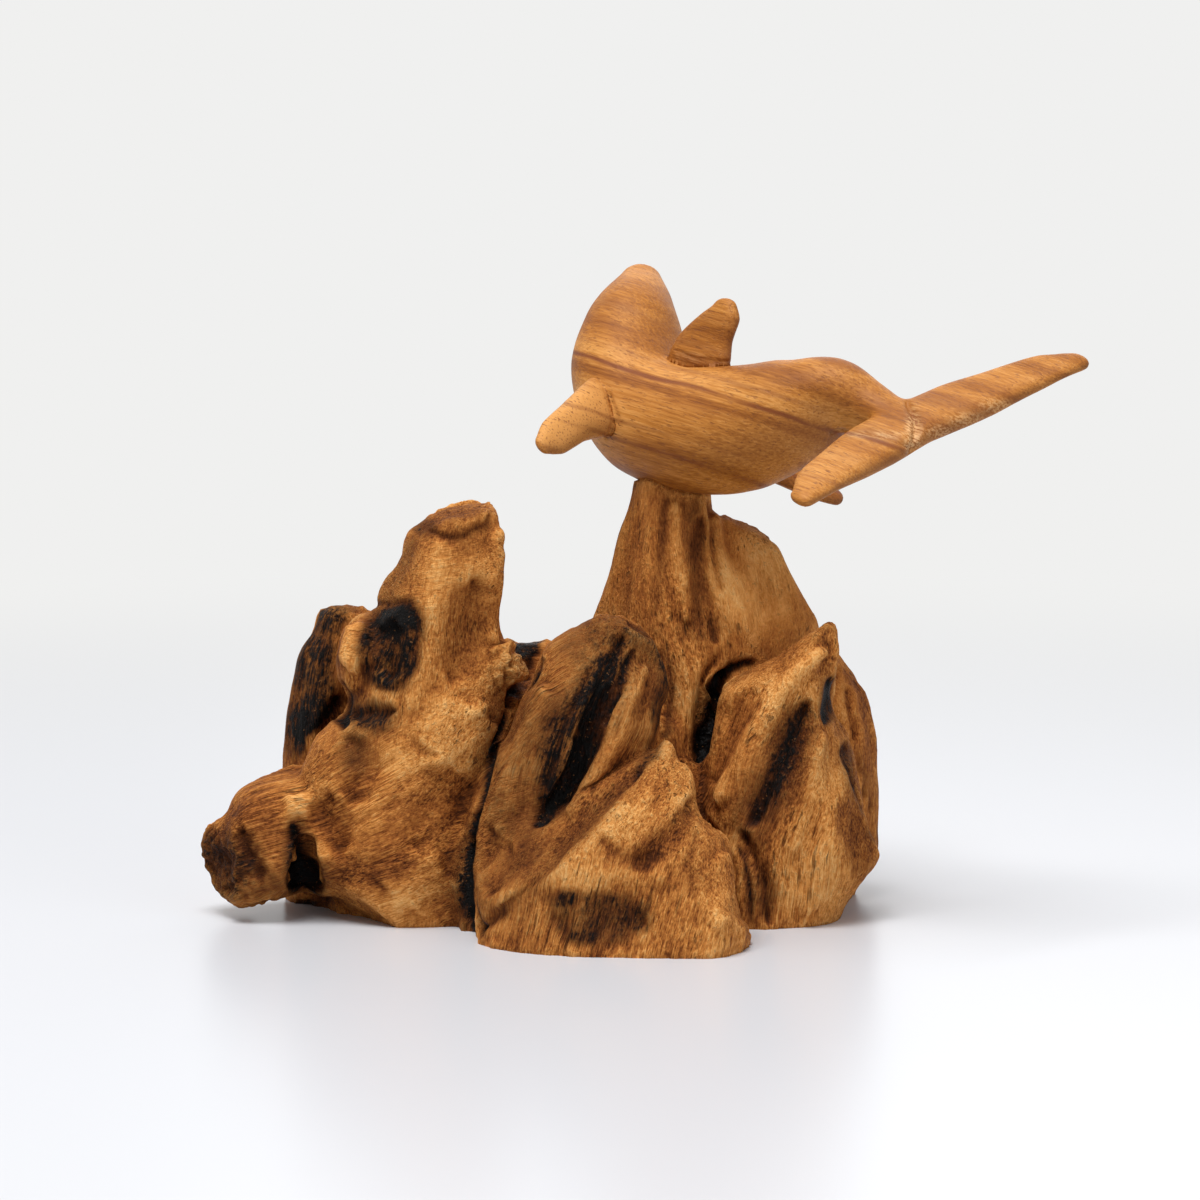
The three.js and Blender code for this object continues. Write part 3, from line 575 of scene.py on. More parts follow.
class Clay:
    """A mesh worked on as arrays, in mm."""

    def __init__(self, mesh):
        self.mesh = mesh
        self.count = len(mesh.vertices)
        flat = np.empty(self.count * 3, np.float32)
        mesh.vertices.foreach_get("co", flat)
        self.points = flat.reshape(-1, 3).astype(float) / MM
        ends = np.empty(len(mesh.edges) * 2, np.int32)
        mesh.edges.foreach_get("vertices", ends)
        self.degree = np.bincount(ends, minlength=self.count)
        self.tail, self.head = ends.reshape(-1, 2).T

    def neighbour_mean(self, values):
        total = np.empty_like(values)
        for k in range(values.shape[1]):
            column = values[:, k]
            total[:, k] = np.bincount(self.tail, column[self.head], self.count)
            total[:, k] += np.bincount(self.head, column[self.tail], self.count)
        return total / self.degree[:, None]

    def smoothed(self, values, rounds):
        for _ in range(rounds):
            values = 0.5 * (values + self.neighbour_mean(values))
        return values

    def softened(self, values, rounds):
        """One value for each point, smoothed."""
        return self.smoothed(values[:, None], rounds)[:, 0]

    def move(self, step, limit):
        """Moves the points by a step each, none further than the limit."""
        length = np.linalg.norm(step, axis=1, keepdims=True)
        self.points += step * (np.tanh(length / limit) * limit / np.maximum(length, TINY))

    def smooth(self, rounds, limit):
        """Smooths the points without shrinking the shape."""
        soft = self.smoothed(self.points, rounds)
        self.move(2 * soft - self.smoothed(soft, rounds) - self.points, limit)

    def sharpen(self, rounds, share, limit):
        """Raises ridges and deepens hollows by a share."""
        self.move(share * (self.points - self.smoothed(self.points, rounds)), limit)

    def normals(self):
        self.store()
        flat = np.empty(self.count * 3, np.float32)
        self.mesh.vertex_normals.foreach_get("vector", flat)
        return flat.reshape(-1, 3).astype(float)

    def store(self):
        self.mesh.vertices.foreach_set("co", (self.points * MM).astype(np.float32).ravel())
        self.mesh.update()

    def paint(self, name, values, domain="POINT"):
        """Keeps one value or one vector for each vertex or face corner, for the material."""
        kind, field = ("FLOAT_VECTOR", "vector") if values.ndim == 2 else ("FLOAT", "value")
        layer = self.mesh.attributes.new(name, kind, domain)
        layer.data.foreach_set(field, values.astype(np.float32).ravel())


def link(obj):
    bpy.context.scene.collection.objects.link(obj)
    return obj


def keep_main_shell(mesh):
    """Removes the crumbs that a remesh leaves beside or inside the main shell."""
    shape = bmesh.new()
    shape.from_mesh(mesh)
    left = set(shape.verts)
    shells = []
    while left:
        front = {left.pop()}
        shell = set(front)
        while front:
            front = {edge.other_vert(vert) for vert in front for edge in vert.link_edges} & left
            left -= front
            shell |= front
        shells.append(shell)
    main = max(shells, key=len)
    crumbs = [vert for shell in shells if shell is not main for vert in shell]
    bmesh.ops.delete(shape, geom=crumbs, context="VERTS")
    shape.to_mesh(mesh)
    shape.free()


def skin_of(node, name, voxel):
    """A copy of a CAD node as one even skin, ready to work."""
    obj = link(bpy.data.objects.new(name, node.data.copy()))
    remesh = obj.modifiers.new("skin", "REMESH")
    remesh.mode = "VOXEL"
    remesh.voxel_size = voxel * MM
    ready = obj.evaluated_get(bpy.context.evaluated_depsgraph_get())
    mesh = bpy.data.meshes.new_from_object(ready)
    obj.modifiers.clear()
    keep_main_shell(mesh)
    obj.data = mesh
    mesh.materials.clear()
    mesh.shade_smooth()
    return obj


def picture_axes():
    ahead = unit(CAMERA_TARGET - CAMERA_PLACE)
    right = np.array((1.0, 0.0, 0.0))
    return right, np.cross(right, ahead), ahead


def picture_place(points):
    """Pixels and depth at which points show in the photograph."""
    right, up, ahead = picture_axes()
    away = points - CAMERA_PLACE
    depth = away @ ahead
    u = PICTURE_PX / 2 + FOCAL_PX * (away @ right) / depth
    v = PICTURE_PX / 2 - FOCAL_PX * (away @ up) / depth
    return u, v, depth


def seen_share(points, normals, facing):
    """0 where the photograph doesn't show the surface or shows it more edge-on than the facing allows."""
    u, v, depth = picture_place(points)
    cells = int(PICTURE_PX / SEEN_CELL_PX)
    column = np.clip(u / SEEN_CELL_PX, 0, cells - 1).astype(int)
    row = np.clip(v / SEEN_CELL_PX, 0, cells - 1).astype(int)
    nearest = np.full((cells, cells), np.inf)
    np.minimum.at(nearest, (row, column), depth)
    turned = risen(-(normals @ picture_axes()[2]), facing)
    return turned * (depth < nearest[row, column] + SEEN_SLACK)


def follow(points, line):
    """Each point's distance and offset from a line and how far along it lies, and the line's length."""
    line = np.array(line, float)
    best = np.full(len(points), np.inf)
    offset = np.zeros(points.shape)
    along = np.zeros(len(points))
    done = 0.0
    for a, b in zip(line[:-1], line[1:]):
        length = np.linalg.norm(b - a)
        t = np.clip((points - a) @ (b - a) / length**2, 0, 1)
        off = points - a - t[:, None] * (b - a)
        gap = np.linalg.norm(off, axis=1)
        nearer = gap < best
        offset[nearer] = off[nearer]
        along[nearer] = done + t[nearer] * length
        best = np.minimum(best, gap)
        done += length
    return best, offset, along, done


def limb_place(points, line):
    """Each point's distance from a limb's axis, and its place across and along the limb, in mm."""
    span = unit(np.subtract(line[-1], line[0]))
    side = unit(np.cross(span, ACROSS_LIMBS))
    gap, offset, along, _ = follow(points, line)
    return gap, np.stack((offset @ side, offset @ np.cross(span, side), along), 1)


def limb_frames(points):
    """Each point's place in every limb, its two nearest limbs, and the second one's share."""
    places, scores = [], []
    for line, radius in LIMBS.values():
        gap, place = limb_place(points, line)
        places.append(place)
        scores.append(gap - radius)
    scores, places = np.array(scores), np.array(places)
    order = np.argsort(scores, axis=0)
    near, next_near, third = np.take_along_axis(scores, order[:3], axis=0)
    meeting = smoothstep(LIMB_BLEND, 0, next_near - near)
    second_share = 0.5 * meeting * smoothstep(0, THIRD_LIMB_BLEND, third - next_near)
    apart = LIMB_APART * np.arange(len(LIMBS))
    return places + apart[:, None, None], order[:2], second_share


def along_limbs(frames, wave):
    """A wave drawn out along the limbs, crossing over smoothly between them."""
    places, limbs, share = frames
    rows = np.arange(len(share))
    first, second = [wave_at(places[limb, rows], wave) for limb in limbs]
    return first * (1 - share) + second * share


def paint_grain(clay, frames):
    """Keeps the fibres' places for the material, with the same two limbs at all corners of a face."""
    places, limbs, share = frames
    mesh = clay.mesh
    corners = np.empty(len(mesh.loops), np.int32)
    mesh.loops.foreach_get("vertex_index", corners)
    starts = np.empty(len(mesh.polygons), np.int32)
    mesh.polygons.foreach_get("loop_start", starts)
    sizes = np.diff(np.append(starts, len(corners)))
    first, second = np.repeat(limbs[:, corners[starts]], sizes, axis=1)
    near, next_near, share = limbs[0, corners], limbs[1, corners], share[corners]
    weights = [(near == limb) * (1 - share) + (next_near == limb) * share for limb in (first, second)]
    clay.paint("grain", places[first, corners], "CORNER")
    clay.paint("grain2", places[second, corners], "CORNER")
    clay.paint("lead", weights[0] / np.maximum(weights[0] + weights[1], LEAST_WEIGHT), "CORNER")


def worked_lines(u, v, lines, shown):
    """Depth and darkness that lines give to points at pixels u and v."""
    depth = np.zeros(len(u))
    dark = np.zeros(len(u))
    for line in lines.values():
        gap, _, along, length = follow(np.stack((u, v), 1), line.pixels)
        share = along / length
        middle = np.sqrt(np.clip(4 * share * (1 - share), 0, 1))
        width = line.half_width * (LINE_END + (1 - LINE_END) * middle)
        depth += shown * line.depth * np.exp(-((gap / width) ** 2))
        dark = np.maximum(dark, shown * line.darkness * np.exp(-0.5 * (gap / (DARK_SPREAD * width)) ** 2))
    return depth, dark


def patched(u, v, y, patches, shown):
    """Strength that patches give to points at pixels u and v, and at y in mm."""
    strength = np.zeros(len(u))
    for patch in patches.values():
        gap = np.hypot((u - patch.u) / patch.half_u, (v - patch.v) / patch.half_v)
        share = smoothstep(1 + patch.soft, 1 - PATCH_FULL * patch.soft, gap) * (y > patch.behind)
        strength = np.maximum(strength, shown * patch.strength * share)
    return strength


def bulge(clay, rounds):
    """How far each point stands out from the surface smoothed by that many rounds, in mm."""
    out = clay.points - clay.smoothed(clay.points, rounds)
    return np.einsum("ij,ij->i", out, clay.normals())


def glue_face(points, carrier):
    """Which points face the carrier across a glue line, and where they touch it."""
    tree = BVHTree.FromObject(carrier, bpy.context.evaluated_depsgraph_get())
    rows, places = [], []
    for k, point in enumerate(points * MM):
        place, normal, _, _ = tree.find_nearest(Vector(point), GLUE_REACH * MM)
        if place is not None:
            rows.append(k)
            places.append(np.array(place - normal * (GLUE_SINK * MM)) / MM)
    return np.array(rows), np.array(places)


def nudged(points, nudges):
    """Points shifted across the picture by the nudges near them."""
    u, v, depth = picture_place(points)
    right, up, _ = picture_axes()
    moved = points.copy()
    for nudge in nudges.values():
        share = np.exp(-((np.hypot(u - nudge.u, v - nudge.v) / nudge.reach) ** 2)) * depth / FOCAL_PX
        moved += share[:, None] * ((nudge.to_u - nudge.u) * right - (nudge.to_v - nudge.v) * up)
    return moved


def wandering_pixels(points, reach):
    """Pixels at which points show, shifted by noise so that what is drawn has a ragged edge."""
    u, v, _ = picture_place(points)
    shifts = []
    for start in WANDER_STARTS:
        shifts.append(reach * sum(wave_at(points + start, wave) for wave in WANDER_WAVES))
    return u + shifts[0], v + shifts[1]


def draw_together(clay):
    """Closes the valleys until only a crack is left of each, and says how near one every point lies."""
    pixels = np.stack(picture_place(clay.points)[:2], 1)
    gap = np.min([follow(pixels, valley)[0] for valley in CLOSED_VALLEYS], axis=0)
    share = np.exp(-((gap / CLOSED_REACH_PX) ** 2)) * risen(clay.points[:, 1], IN_FRONT)
    clay.points += share[:, None] * (clay.smoothed(clay.points, CLOSED_ROUNDS) - clay.points)
    return share


def bark_splits(points, frames):
    """How far each point lies in one of the splits that run brokenly along the limbs, from 0 to 1."""
    lie = along_limbs(frames, SPLIT_LINES)
    open_share = risen(wave_at(points, SPLIT_GAPS), SPLIT_OPENS)
    return open_share * np.exp(-((lie / (SPLIT_START + SPLIT_GAPE * open_share)) ** 2))


def seen_shares(clay, normals):
    square = clay.softened(seen_share(clay.points, normals, SQUARE_TO_VIEW), rounds=3)
    shown = clay.softened(seen_share(clay.points, normals, EDGE_ON_TO_VIEW), rounds=3)
    return Seen(square, shown, risen(normals @ picture_axes()[2], AWAY_FROM_VIEW))


def raise_forms(clay, normals, frames, seen):
    """Gives the root its cords and broad forms, and lumps and splits where it is hidden."""
    relief = along_limbs(frames, STRANDS) + along_limbs(frames, CORDS)
    relief += wave_at(clay.points, SWELL) - ROOT_SINK
    splits = seen.hidden * bark_splits(clay.points, frames)
    lumps = wave_at(clay.points, LUMPS) + wave_at(clay.points, HILLS)
    relief += seen.hidden * lumps - SPLIT_DEPTH * splits
    u, v = wandering_pixels(clay.points, FORM_WANDER_PX)
    relief -= worked_lines(u, v, ROOT_FORMS, seen.square)[0]
    clay.points += normals * relief[:, None]
    clay.sharpen(rounds=24, share=0.8, limit=0.45)
    return splits


def cut_lines(clay, u, v, shown):
    """Cuts the root's lines, and says how much burn, stain and painted shade they and the stains leave at
    each point.
    """
    depth, char_and_shade = worked_lines(u, v, ROOT_LINES, shown)
    char_and_shade = np.maximum(char_and_shade, patched(u, v, clay.points[:, 1], ROOT_STAINS_AND_SHADE, shown))
    clay.points -= clay.normals() * clay.softened(depth, rounds=1)[:, None]
    clay.points = clay.smoothed(clay.points, rounds=1)
    return char_and_shade


def raise_splinters(clay, normals, u, v, shown):
    """Splinters the torn places, the sawn rim and the tops that the photograph doesn't show."""
    torn = patched(u, v, clay.points[:, 1], ROOT_TORN, shown)
    rim = risen(clay.points[:, 2], SAWN_RIM_TORN)
    broken = (1 - shown) * risen(normals[:, 2], BROKEN_TOP_TORN)
    splinters = wave_at(clay.points, SPLINTERS) + wave_at(clay.points, SHARDS)
    height = np.maximum(np.maximum(torn, rim), broken) * splinters
    clay.points += normals * height[:, None]


def paint_root(clay, frames, char_and_shade, gold_and_highlight, crest, broad_crest):
    """Keeps what the root's material needs."""
    paint_grain(clay, frames)
    clay.paint("calm", risen(clay.points[:, 1], CALM_BACK) * risen(clay.points[:, 2], CALM_TOP))
    clay.paint("char_and_shade", clay.softened(char_and_shade, rounds=1))
    clay.paint("gold_and_highlight", gold_and_highlight)
    clay.paint("crest", np.clip(crest / CREST_FULL, -1, 1))
    clay.paint("broad_crest", np.clip(broad_crest / BROAD_CREST_FULL, -1, 1))


def work_root(obj, dolphin):
    """Smooths, carves and stains the root, paints shade into its holes, gaps, hollows and creases and
    highlights onto its lit places.
    """
    clay = Clay(obj.data)
    sawn = clay.points[:, 2] < SAWN_HEIGHT
    glued, seats = glue_face(clay.points, dolphin)
    clay.points = nudged(clay.points, ROOT_NUDGES)
    clay.smooth(rounds=36, limit=0.7)
    away = 1 - draw_together(clay)
    frames = limb_frames(clay.points)
    normals = clay.normals()
    seen = seen_shares(clay, normals)
    splits = raise_forms(clay, normals, frames, seen)
    u, v = wandering_pixels(clay.points, LINE_WANDER_PX)
    char_and_shade = cut_lines(clay, u, v, seen.shown)
    raise_splinters(clay, normals, u, v, seen.shown)
    crest, broad_crest = bulge(clay, CREST_ROUNDS), bulge(clay, BROAD_CREST_ROUNDS)
    burl = wave_at(clay.points, BURLS) - CREST_OFF_BURL * broad_crest
    # Burns, splits and burls, and painted shade that darkens broad hollows and tight creases
    burns_and_shade = (
        char_and_shade,
        SPLIT_CHAR * splits,
        seen.hidden * risen(burl, BURL_CHAR),
        away * risen(-broad_crest, HOLLOW_SHADE),
        away * risen(-crest, GROOVE_CHAR_AND_SHADE),
    )
    # Golden places: lighter worn wood and painted highlights
    gold_and_highlight = patched(u, v, clay.points[:, 1], ROOT_GOLD_AND_HIGHLIGHTS, seen.shown)
    gold_and_highlight = np.maximum(gold_and_highlight, seen.hidden * risen(-burl, BURL_GOLD))
    clay.points[glued] = seats
    clay.points[:, 2] = np.where(sawn, 0, np.maximum(clay.points[:, 2], 0))
    clay.store()
    paint_root(clay, frames, np.maximum.reduce(burns_and_shade), gold_and_highlight, crest, broad_crest)


def wood_grain(points, turn):
    """Places across the fibres, out along the growth rings and along the fibres, in mm."""
    ring_way = unit(RING_WAY)
    way = unit(FIBRE_WAY - (FIBRE_WAY @ ring_way) * ring_way)
    side = np.cross(way, ring_way)
    return points @ np.stack((side, ring_way, way), 1) + (0.0, turn, 0.0)


def work_carving(obj, limit, turn, carrier=None):
    """Smooths a piece of the dolphin, cuts its tool lines with some painted shadow, paints its highlights
    and lays its grain.
    """
    clay = Clay(obj.data)
    if carrier:
        glued, seats = glue_face(clay.points, carrier)
    clay.smooth(rounds=120, limit=limit)
    clay.points = clay.smoothed(clay.points, rounds=4)
    normals = clay.normals()
    shown = seen_share(clay.points, normals, SQUARE_TO_VIEW)
    u, v = wandering_pixels(clay.points, TOOL_WANDER_PX)
    y = clay.points[:, 1]
    # Tool lines, some darkened as painted shadow
    depth, tooled_and_shadow = worked_lines(u, v, DOLPHIN_LINES, shown)
    pale = patched(u, v, y, DOLPHIN_PALE, shown)
    # Painted highlights on lit places
    painted_highlight = patched(u, v, y, DOLPHIN_HIGHLIGHTS, shown)
    relief = wave_at(clay.points, FACETS) + pale * wave_at(clay.points, CHATTER)
    relief -= clay.softened(depth, rounds=2)
    clay.points += normals * relief[:, None]
    if carrier:
        clay.points[glued] = seats
    clay.store()
    clay.paint("grain", wood_grain(clay.points, turn))
    clay.paint("endgrain", np.abs(normals @ unit(FIBRE_WAY)) ** END_POWER)
    clay.paint("tooled_and_shadow", tooled_and_shadow)
    clay.paint("pale", pale)
    clay.paint("painted_highlight", painted_highlight)


def add(tree, kind, inputs=None, **settings):
    """A node with its settings, values and links."""
    node = tree.nodes.new(kind)
    for key, value in settings.items():
        setattr(node, key, value)
    for key, value in (inputs or {}).items():
        if isinstance(value, bpy.types.NodeSocket):
            tree.links.new(value, node.inputs[key])
        else:
            node.inputs[key].default_value = value
    return node


def maths(tree, operation, first, second=0.0, third=0.0, clamp=False):
    inputs = {0: first, 1: second, 2: third}
    return add(tree, "ShaderNodeMath", inputs, operation=operation, use_clamp=clamp).outputs[0]


def times(tree, first, second):
    return maths(tree, "MULTIPLY", first, second)


def toned(tree, value, weight, tone, middle=0.5):
    """A tone moved by a value's distance from its middle."""
    return maths(tree, "MULTIPLY_ADD", value, weight, maths(tree, "SUBTRACT", tone, weight * middle))


def painted(tree, name, output="Fac"):
    return add(tree, "ShaderNodeAttribute", attribute_name=name).outputs[output]


def streaks(tree, grain, kind):
    """Noise drawn out along the fibres."""
    scaled = add(tree, "ShaderNodeVectorMath", {0: grain, 1: kind.scale}, operation="MULTIPLY")
    inputs = {"Vector": scaled.outputs[0], "Scale": 1.0, "Detail": kind.detail}
    inputs.update({"Roughness": kind.roughness, "Distortion": kind.distortion})
    return add(tree, "ShaderNodeTexNoise", inputs).outputs["Fac"]


def mixed(tree, share, first, second):
    """Two colours mixed by a share."""
    inputs = {"Factor": share, 6: first, 7: second}
    return add(tree, "ShaderNodeMix", inputs, data_type="RGBA").outputs[2]


def ramp(tree, value, stops):
    node = add(tree, "ShaderNodeValToRGB", {"Fac": value})
    elements = node.color_ramp.elements
    while len(elements) < len(stops):
        elements.new(0.5)
    for element, (place, shade) in zip(elements, stops):
        element.position = place
        element.color = shade
    return node.outputs["Color"]


def between(tree, value, low, high):
    """0 below low, 1 above high."""
    inputs = {"Value": value, "From Min": low, "From Max": high}
    return add(tree, "ShaderNodeMapRange", inputs, interpolation_type="SMOOTHSTEP").outputs["Result"]


def bumped(tree, shader, height, strength, distance):
    """Gives a shader small relief, with the distance in m."""
    bump = add(tree, "ShaderNodeBump", {"Height": height, "Strength": strength, "Distance": distance})
    tree.links.new(bump.outputs[0], shader.inputs["Normal"])


def new_material(name):
    material = bpy.data.materials.new(name)
    material.use_nodes = True
    tree = material.node_tree
    return material, tree, tree.nodes["Principled BSDF"]


class RootGrain:
    """Noise for the root's material, along the fibres of its limbs or in spots."""

    def __init__(self, tree):
        self.tree = tree
        self.first = painted(tree, "grain", "Vector")
        self.second = painted(tree, "grain2", "Vector")
        self.lead = painted(tree, "lead")
        self.place = add(tree, "ShaderNodeTexCoord").outputs["Object"]

    def along(self, kind):
        first = streaks(self.tree, self.first, kind)
        second = streaks(self.tree, self.second, kind)
        apart = maths(self.tree, "SUBTRACT", first, second)
        return maths(self.tree, "MULTIPLY_ADD", apart, self.lead, second)

    def spots(self, kind):
        inputs = {"Vector": self.place, "Scale": kind.scale, "Detail": kind.detail}
        inputs["Roughness"] = SPOT_ROUGHNESS
        return add(self.tree, "ShaderNodeTexNoise", inputs).outputs["Fac"]


def root_tone(tree, grain, fibre, hair, speck):
    """How light the root's wood is before it burns, with crests painted lighter and hollows darker as
    painted highlight and shade.
    """
    tone = toned(tree, grain.spots(BLOTCHES), BLOTCHES.weight, ROOT_TONE)
    for kind in (ROOT_BROAD, ROOT_BANDS):
        tone = toned(tree, grain.along(kind), kind.weight, tone)
    fine = 0.0
    for value, kind in ((fibre, ROOT_FIBRE), (hair, ROOT_HAIR), (speck, SPECKS)):
        fine = toned(tree, value, kind.weight, fine)
    lively = maths(tree, "MULTIPLY_ADD", painted(tree, "calm"), -CALMING, 1.0)
    tone = maths(tree, "MULTIPLY_ADD", fine, lively, tone)
    # Crests painted lighter and hollows darker: painted highlight and shade
    for name, (weight, middle) in PAINTED_TONES.items():
        tone = toned(tree, painted(tree, name), weight, tone, middle)
    return tone


def burnt(tree, grain, shade, fibre, speck):
    """The root's shade with stains, soot and pale chips, with painted shade laid in the same brown and
    black, and where the soot and the blackest painted shade are.
    """
    edge = toned(tree, grain.spots(RAGGED), RAGGED.weight, 0.0)
    edge = toned(tree, speck, SPECKS.weight, edge)
    edge = toned(tree, fibre, RAGGED_FIBRE, edge)
    char_and_shade = painted(tree, "char_and_shade")
    # Stains and soot, and painted shade laid in their brown and black
    share = maths(tree, "MULTIPLY_ADD", edge, STAIN_RAGGED, STAIN_SHARE)
    shade = mixed(tree, maths(tree, "MULTIPLY", share, char_and_shade, clamp=True), shade, STAIN_AND_SHADE_BROWN)
    soot_and_shade = between(tree, maths(tree, "MULTIPLY_ADD", edge, SOOT_RAGGED, char_and_shade), low=0.64, high=0.96)
    shade = mixed(tree, soot_and_shade, shade, SOOT_AND_SHADE_BLACK)
    chips = times(tree, between(tree, grain.spots(CHIPS), low=0.67, high=0.74), char_and_shade)
    return mixed(tree, times(tree, chips, CHIPS.weight), shade, CHIP_TAN), soot_and_shade


def checked(tree, grain, shade):
    """The root's shade with short dark drying checks, and where they are."""
    lines = between(tree, grain.along(ROOT_CHECKS), low=0.6, high=0.69)
    checks = times(tree, lines, between(tree, grain.spots(CHECK_PLACES), low=0.46, high=0.58))
    return mixed(tree, times(tree, checks, ROOT_CHECKS.weight), shade, CHECK_BROWN), checks


def root_wood():
    material, tree, shader = new_material("root_wood")
    grain = RootGrain(tree)
    fibre, hair, speck = grain.along(ROOT_FIBRE), grain.along(ROOT_HAIR), grain.spots(SPECKS)
    shade = ramp(tree, root_tone(tree, grain, fibre, hair, speck), ROOT_TONES)
    pits = times(tree, between(tree, speck, low=0.60, high=0.72), PIT_SHARE)
    shade = mixed(tree, pits, shade, PIT_BROWN)
    shade, soot_and_shade = burnt(tree, grain, shade, fibre, speck)
    shade, checks = checked(tree, grain, shade)
    tree.links.new(shade, shader.inputs["Base Color"])
    rough = maths(tree, "MULTIPLY_ADD", fibre, FIBRE_ROUGH, ROOT_ROUGH)
    rough = maths(tree, "MULTIPLY_ADD", soot_and_shade, -SOOT_GLOSS, rough)
    tree.links.new(rough, shader.inputs["Roughness"])
    height = fibre
    for value, share in zip((hair, speck, checks), ROOT_HEIGHTS):
        height = toned(tree, value, share, height)
    bumped(tree, shader, height, strength=0.9, distance=0.001)
    shader.inputs["Specular IOR Level"].default_value = 0.09
    return material


def ringed(tree, grain, shade):
    """The dolphin's shade with its dark growth lines."""
    ring = add(tree, "ShaderNodeSeparateXYZ", {"Vector": grain}).outputs["Y"]
    ring = toned(tree, streaks(tree, grain, RING_WANDER), RING_WANDER.weight, ring)
    patchy = between(tree, streaks(tree, grain, RING_PATCHES), low=0.3, high=0.6)
    for line in RING_LINES.values():
        off = maths(tree, "ABSOLUTE", maths(tree, "SUBTRACT", ring, line.place))
        share = between(tree, off, low=line.half_width * RING_FADE, high=line.half_width * RING_CORE)
        share = times(tree, times(tree, share, line.strength), patchy)
        shade = mixed(tree, share, shade, RING_BROWN)
    return shade


def pale_wood():
    material, tree, shader = new_material("pale_wood")
    grain = painted(tree, "grain", "Vector")
    painted_highlight = painted(tree, "painted_highlight")
    fine = streaks(tree, grain, PALE_FINE)
    pores = between(tree, streaks(tree, grain, PALE_PORES), low=0.57, high=0.68)
    tone = times(tree, streaks(tree, grain, PALE_BANDS), PALE_BANDS.weight)
    tone = maths(tree, "MULTIPLY_ADD", fine, PALE_FINE.weight, tone)
    # Painted highlight
    tone = maths(tree, "MULTIPLY_ADD", painted_highlight, HIGHLIGHT_SHARE, tone)
    shade = ringed(tree, grain, ramp(tree, tone, PALE_TONES))
    pore_share = maths(tree, "MULTIPLY_ADD", painted_highlight, HIGHLIGHT_PORE_SHARE, PORE_SHARE)
    shade = mixed(tree, times(tree, pores, pore_share), shade, PORE_BROWN)
    shade = mixed(tree, times(tree, painted(tree, "endgrain"), END_SHARE), shade, END_BROWN)
    # Tool lines and their painted shadow
    shade = mixed(tree, times(tree, painted(tree, "tooled_and_shadow"), TOOL_SHARE), shade, TOOL_AND_SHADOW_BROWN)
    torn = times(tree, painted(tree, "pale"), between(tree, fine, low=0.4, high=0.6))
    shade = mixed(tree, torn, shade, TORN_PALE)
    tree.links.new(shade, shader.inputs["Base Color"])
    rough = maths(tree, "MULTIPLY_ADD", fine, FIBRE_ROUGH, PALE_ROUGH)
    tree.links.new(rough, shader.inputs["Roughness"])
    height = maths(tree, "SUBTRACT", fine, times(tree, pores, PORE_HEIGHT))
    bumped(tree, shader, height, strength=0.3, distance=0.0004)
    shader.inputs["Specular IOR Level"].default_value = 0.2
    return material


def dowel_wood():
    material, tree, shader = new_material("dowel_wood")
    place = add(tree, "ShaderNodeTexCoord").outputs["Object"]
    grain = streaks(tree, place, DOWEL_STREAKS)
    tree.links.new(ramp(tree, grain, DOWEL_TONES), shader.inputs["Base Color"])
    bumped(tree, shader, grain, strength=0.4, distance=0.0004)
    shader.inputs["Roughness"].default_value = 0.65
    return material


def backdrop_rays(tree):
    """1 for the rays that see the plain backdrop: the camera's, and those sent on by gloss or glass."""
    path = add(tree, "ShaderNodeLightPath").outputs
    sent_on = maths(tree, "MAXIMUM", path["Is Glossy Ray"], path["Is Transmission Ray"])
    return maths(tree, "MAXIMUM", path["Is Camera Ray"], sent_on)


def build_floor():
    """A plain pale floor that fades into the pale background away from the object."""
    turns = [2 * math.pi * k / FLOOR_SIDES for k in range(FLOOR_SIDES)]
    corners = [(FLOOR_RADIUS * math.cos(t), FLOOR_RADIUS * math.sin(t), 0.0) for t in turns]
    mesh = bpy.data.meshes.new("floor")
    mesh.from_pydata(corners, [], [range(FLOOR_SIDES)])
    floor = link(bpy.data.objects.new("floor", mesh))
    material, tree, shader = new_material("floor_paint")
    place = add(tree, "ShaderNodeTexCoord").outputs["Object"]
    away = add(tree, "ShaderNodeVectorMath", {0: place}, operation="LENGTH").outputs["Value"]
    shade = mixed(tree, between(tree, away, 0.0, FLOOR_TINT_REACH), FLOOR_NEAR, FLOOR_FAR)
    tree.links.new(shade, shader.inputs["Base Color"])
    shader.inputs["Roughness"].default_value = 0.3
    shader.inputs["Specular IOR Level"].default_value = 0.2
    far = times(tree, between(tree, away, FADE_START, FADE_END), backdrop_rays(tree))
    backdrop = add(tree, "ShaderNodeEmission", {"Color": BACKDROP, "Strength": 1.0}).outputs[0]
    blend = add(tree, "ShaderNodeMixShader", {0: far, 1: shader.outputs[0], 2: backdrop})
    tree.links.new(blend.outputs[0], tree.nodes["Material Output"].inputs["Surface"])
    mesh.materials.append(material)
    floor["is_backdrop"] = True


def area_lamp(name, place, target, size, watts):
    data = bpy.data.lights.new(name, "AREA")
    data.size = size
    data.energy = watts
    lamp = link(bpy.data.objects.new(name, data))
    lamp.location = place
    lamp.rotation_euler = (Vector(target) - Vector(place)).to_track_quat("-Z", "Y").to_euler()


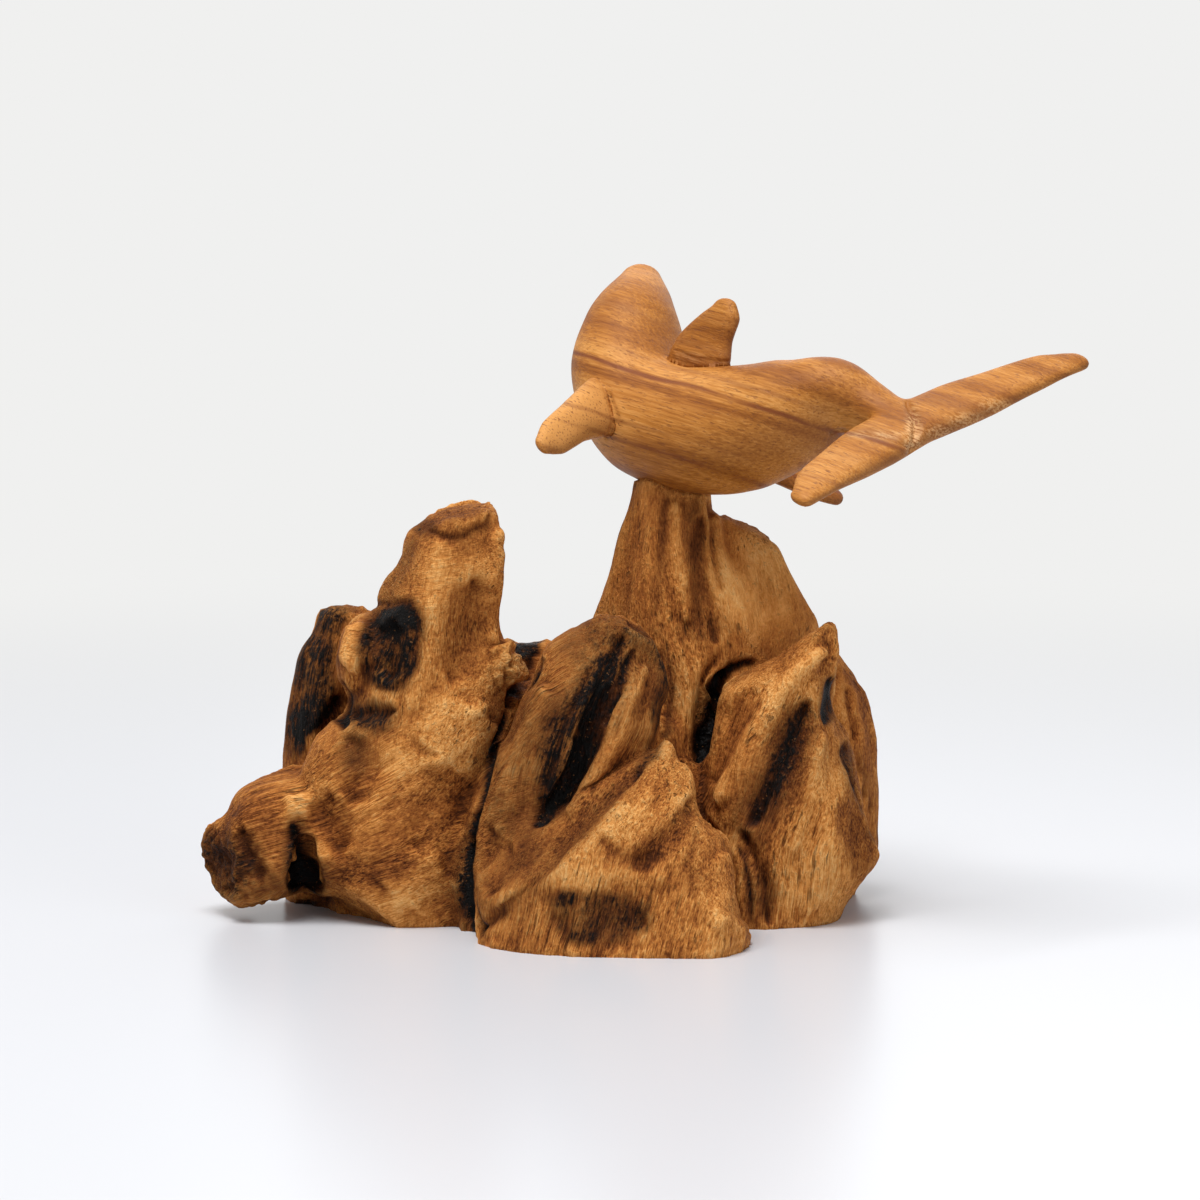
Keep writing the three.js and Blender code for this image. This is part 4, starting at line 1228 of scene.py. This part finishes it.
def build_light():
    middle = (0.01, 0.0, 0.06)
    area_lamp("key", (-0.2, -0.3, 1.1), middle, size=0.6, watts=14.0)
    area_lamp("fill", (0.7, -0.7, 0.45), middle, size=0.8, watts=2.4)
    area_lamp("back", (0.2, 0.9, 0.6), middle, size=0.8, watts=2.0)
    world = bpy.data.worlds.new("room")
    world.use_nodes = True
    tree = world.node_tree
    sky = tree.nodes["Background"]
    sky.inputs["Color"].default_value = SKY
    sky.inputs["Strength"].default_value = SKY_STRENGTH
    backdrop = add(tree, "ShaderNodeBackground", {"Color": BACKDROP, "Strength": 1.0}).outputs[0]
    blend = add(tree, "ShaderNodeMixShader", {0: backdrop_rays(tree), 1: sky.outputs[0], 2: backdrop})
    tree.links.new(blend.outputs[0], tree.nodes["World Output"].inputs["Surface"])
    bpy.context.scene.world = world


def build_camera():
    data = bpy.data.cameras.new("photo_camera")
    data.sensor_width = SENSOR_MM
    data.lens = SENSOR_MM * FOCAL_PX / PICTURE_PX
    camera = link(bpy.data.objects.new("photo_camera", data))
    camera.location = CAMERA_PLACE * MM
    aim = Vector(CAMERA_TARGET - CAMERA_PLACE)
    camera.rotation_euler = aim.to_track_quat("-Z", "Y").to_euler()
    bpy.context.scene.camera = camera


def take_place(obj, node, material):
    obj.data.materials.append(material)
    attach(obj, "root")
    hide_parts(node)


def build():
    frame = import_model()
    cad_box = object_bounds()
    nodes = frame["nodes"]
    root_material, carving_material = root_wood(), pale_wood()
    body = skin_of(nodes["dolphin_body"], "dolphin_body_skin", BODY_VOXEL)
    work_carving(body, BODY_SMOOTHING, 0.0)
    take_place(body, "dolphin_body", carving_material)
    for name, turn in FIN_TURNS.items():
        fin = skin_of(nodes[name], name + "_skin", FIN_VOXEL)
        work_carving(fin, FIN_SMOOTHING, turn, body)
        take_place(fin, name, carving_material)
    dowel = skin_of(nodes["support_dowel"], "support_dowel_skin", FIN_VOXEL)
    take_place(dowel, "support_dowel", dowel_wood())
    root = skin_of(nodes["root_base"], "root_base_skin", ROOT_VOXEL)
    work_root(root, body)
    take_place(root, "root_base", root_material)
    build_floor()
    build_light()
    build_camera()
    bpy.context.scene.view_settings.view_transform = "Standard"
    return cad_box


start_box = build()
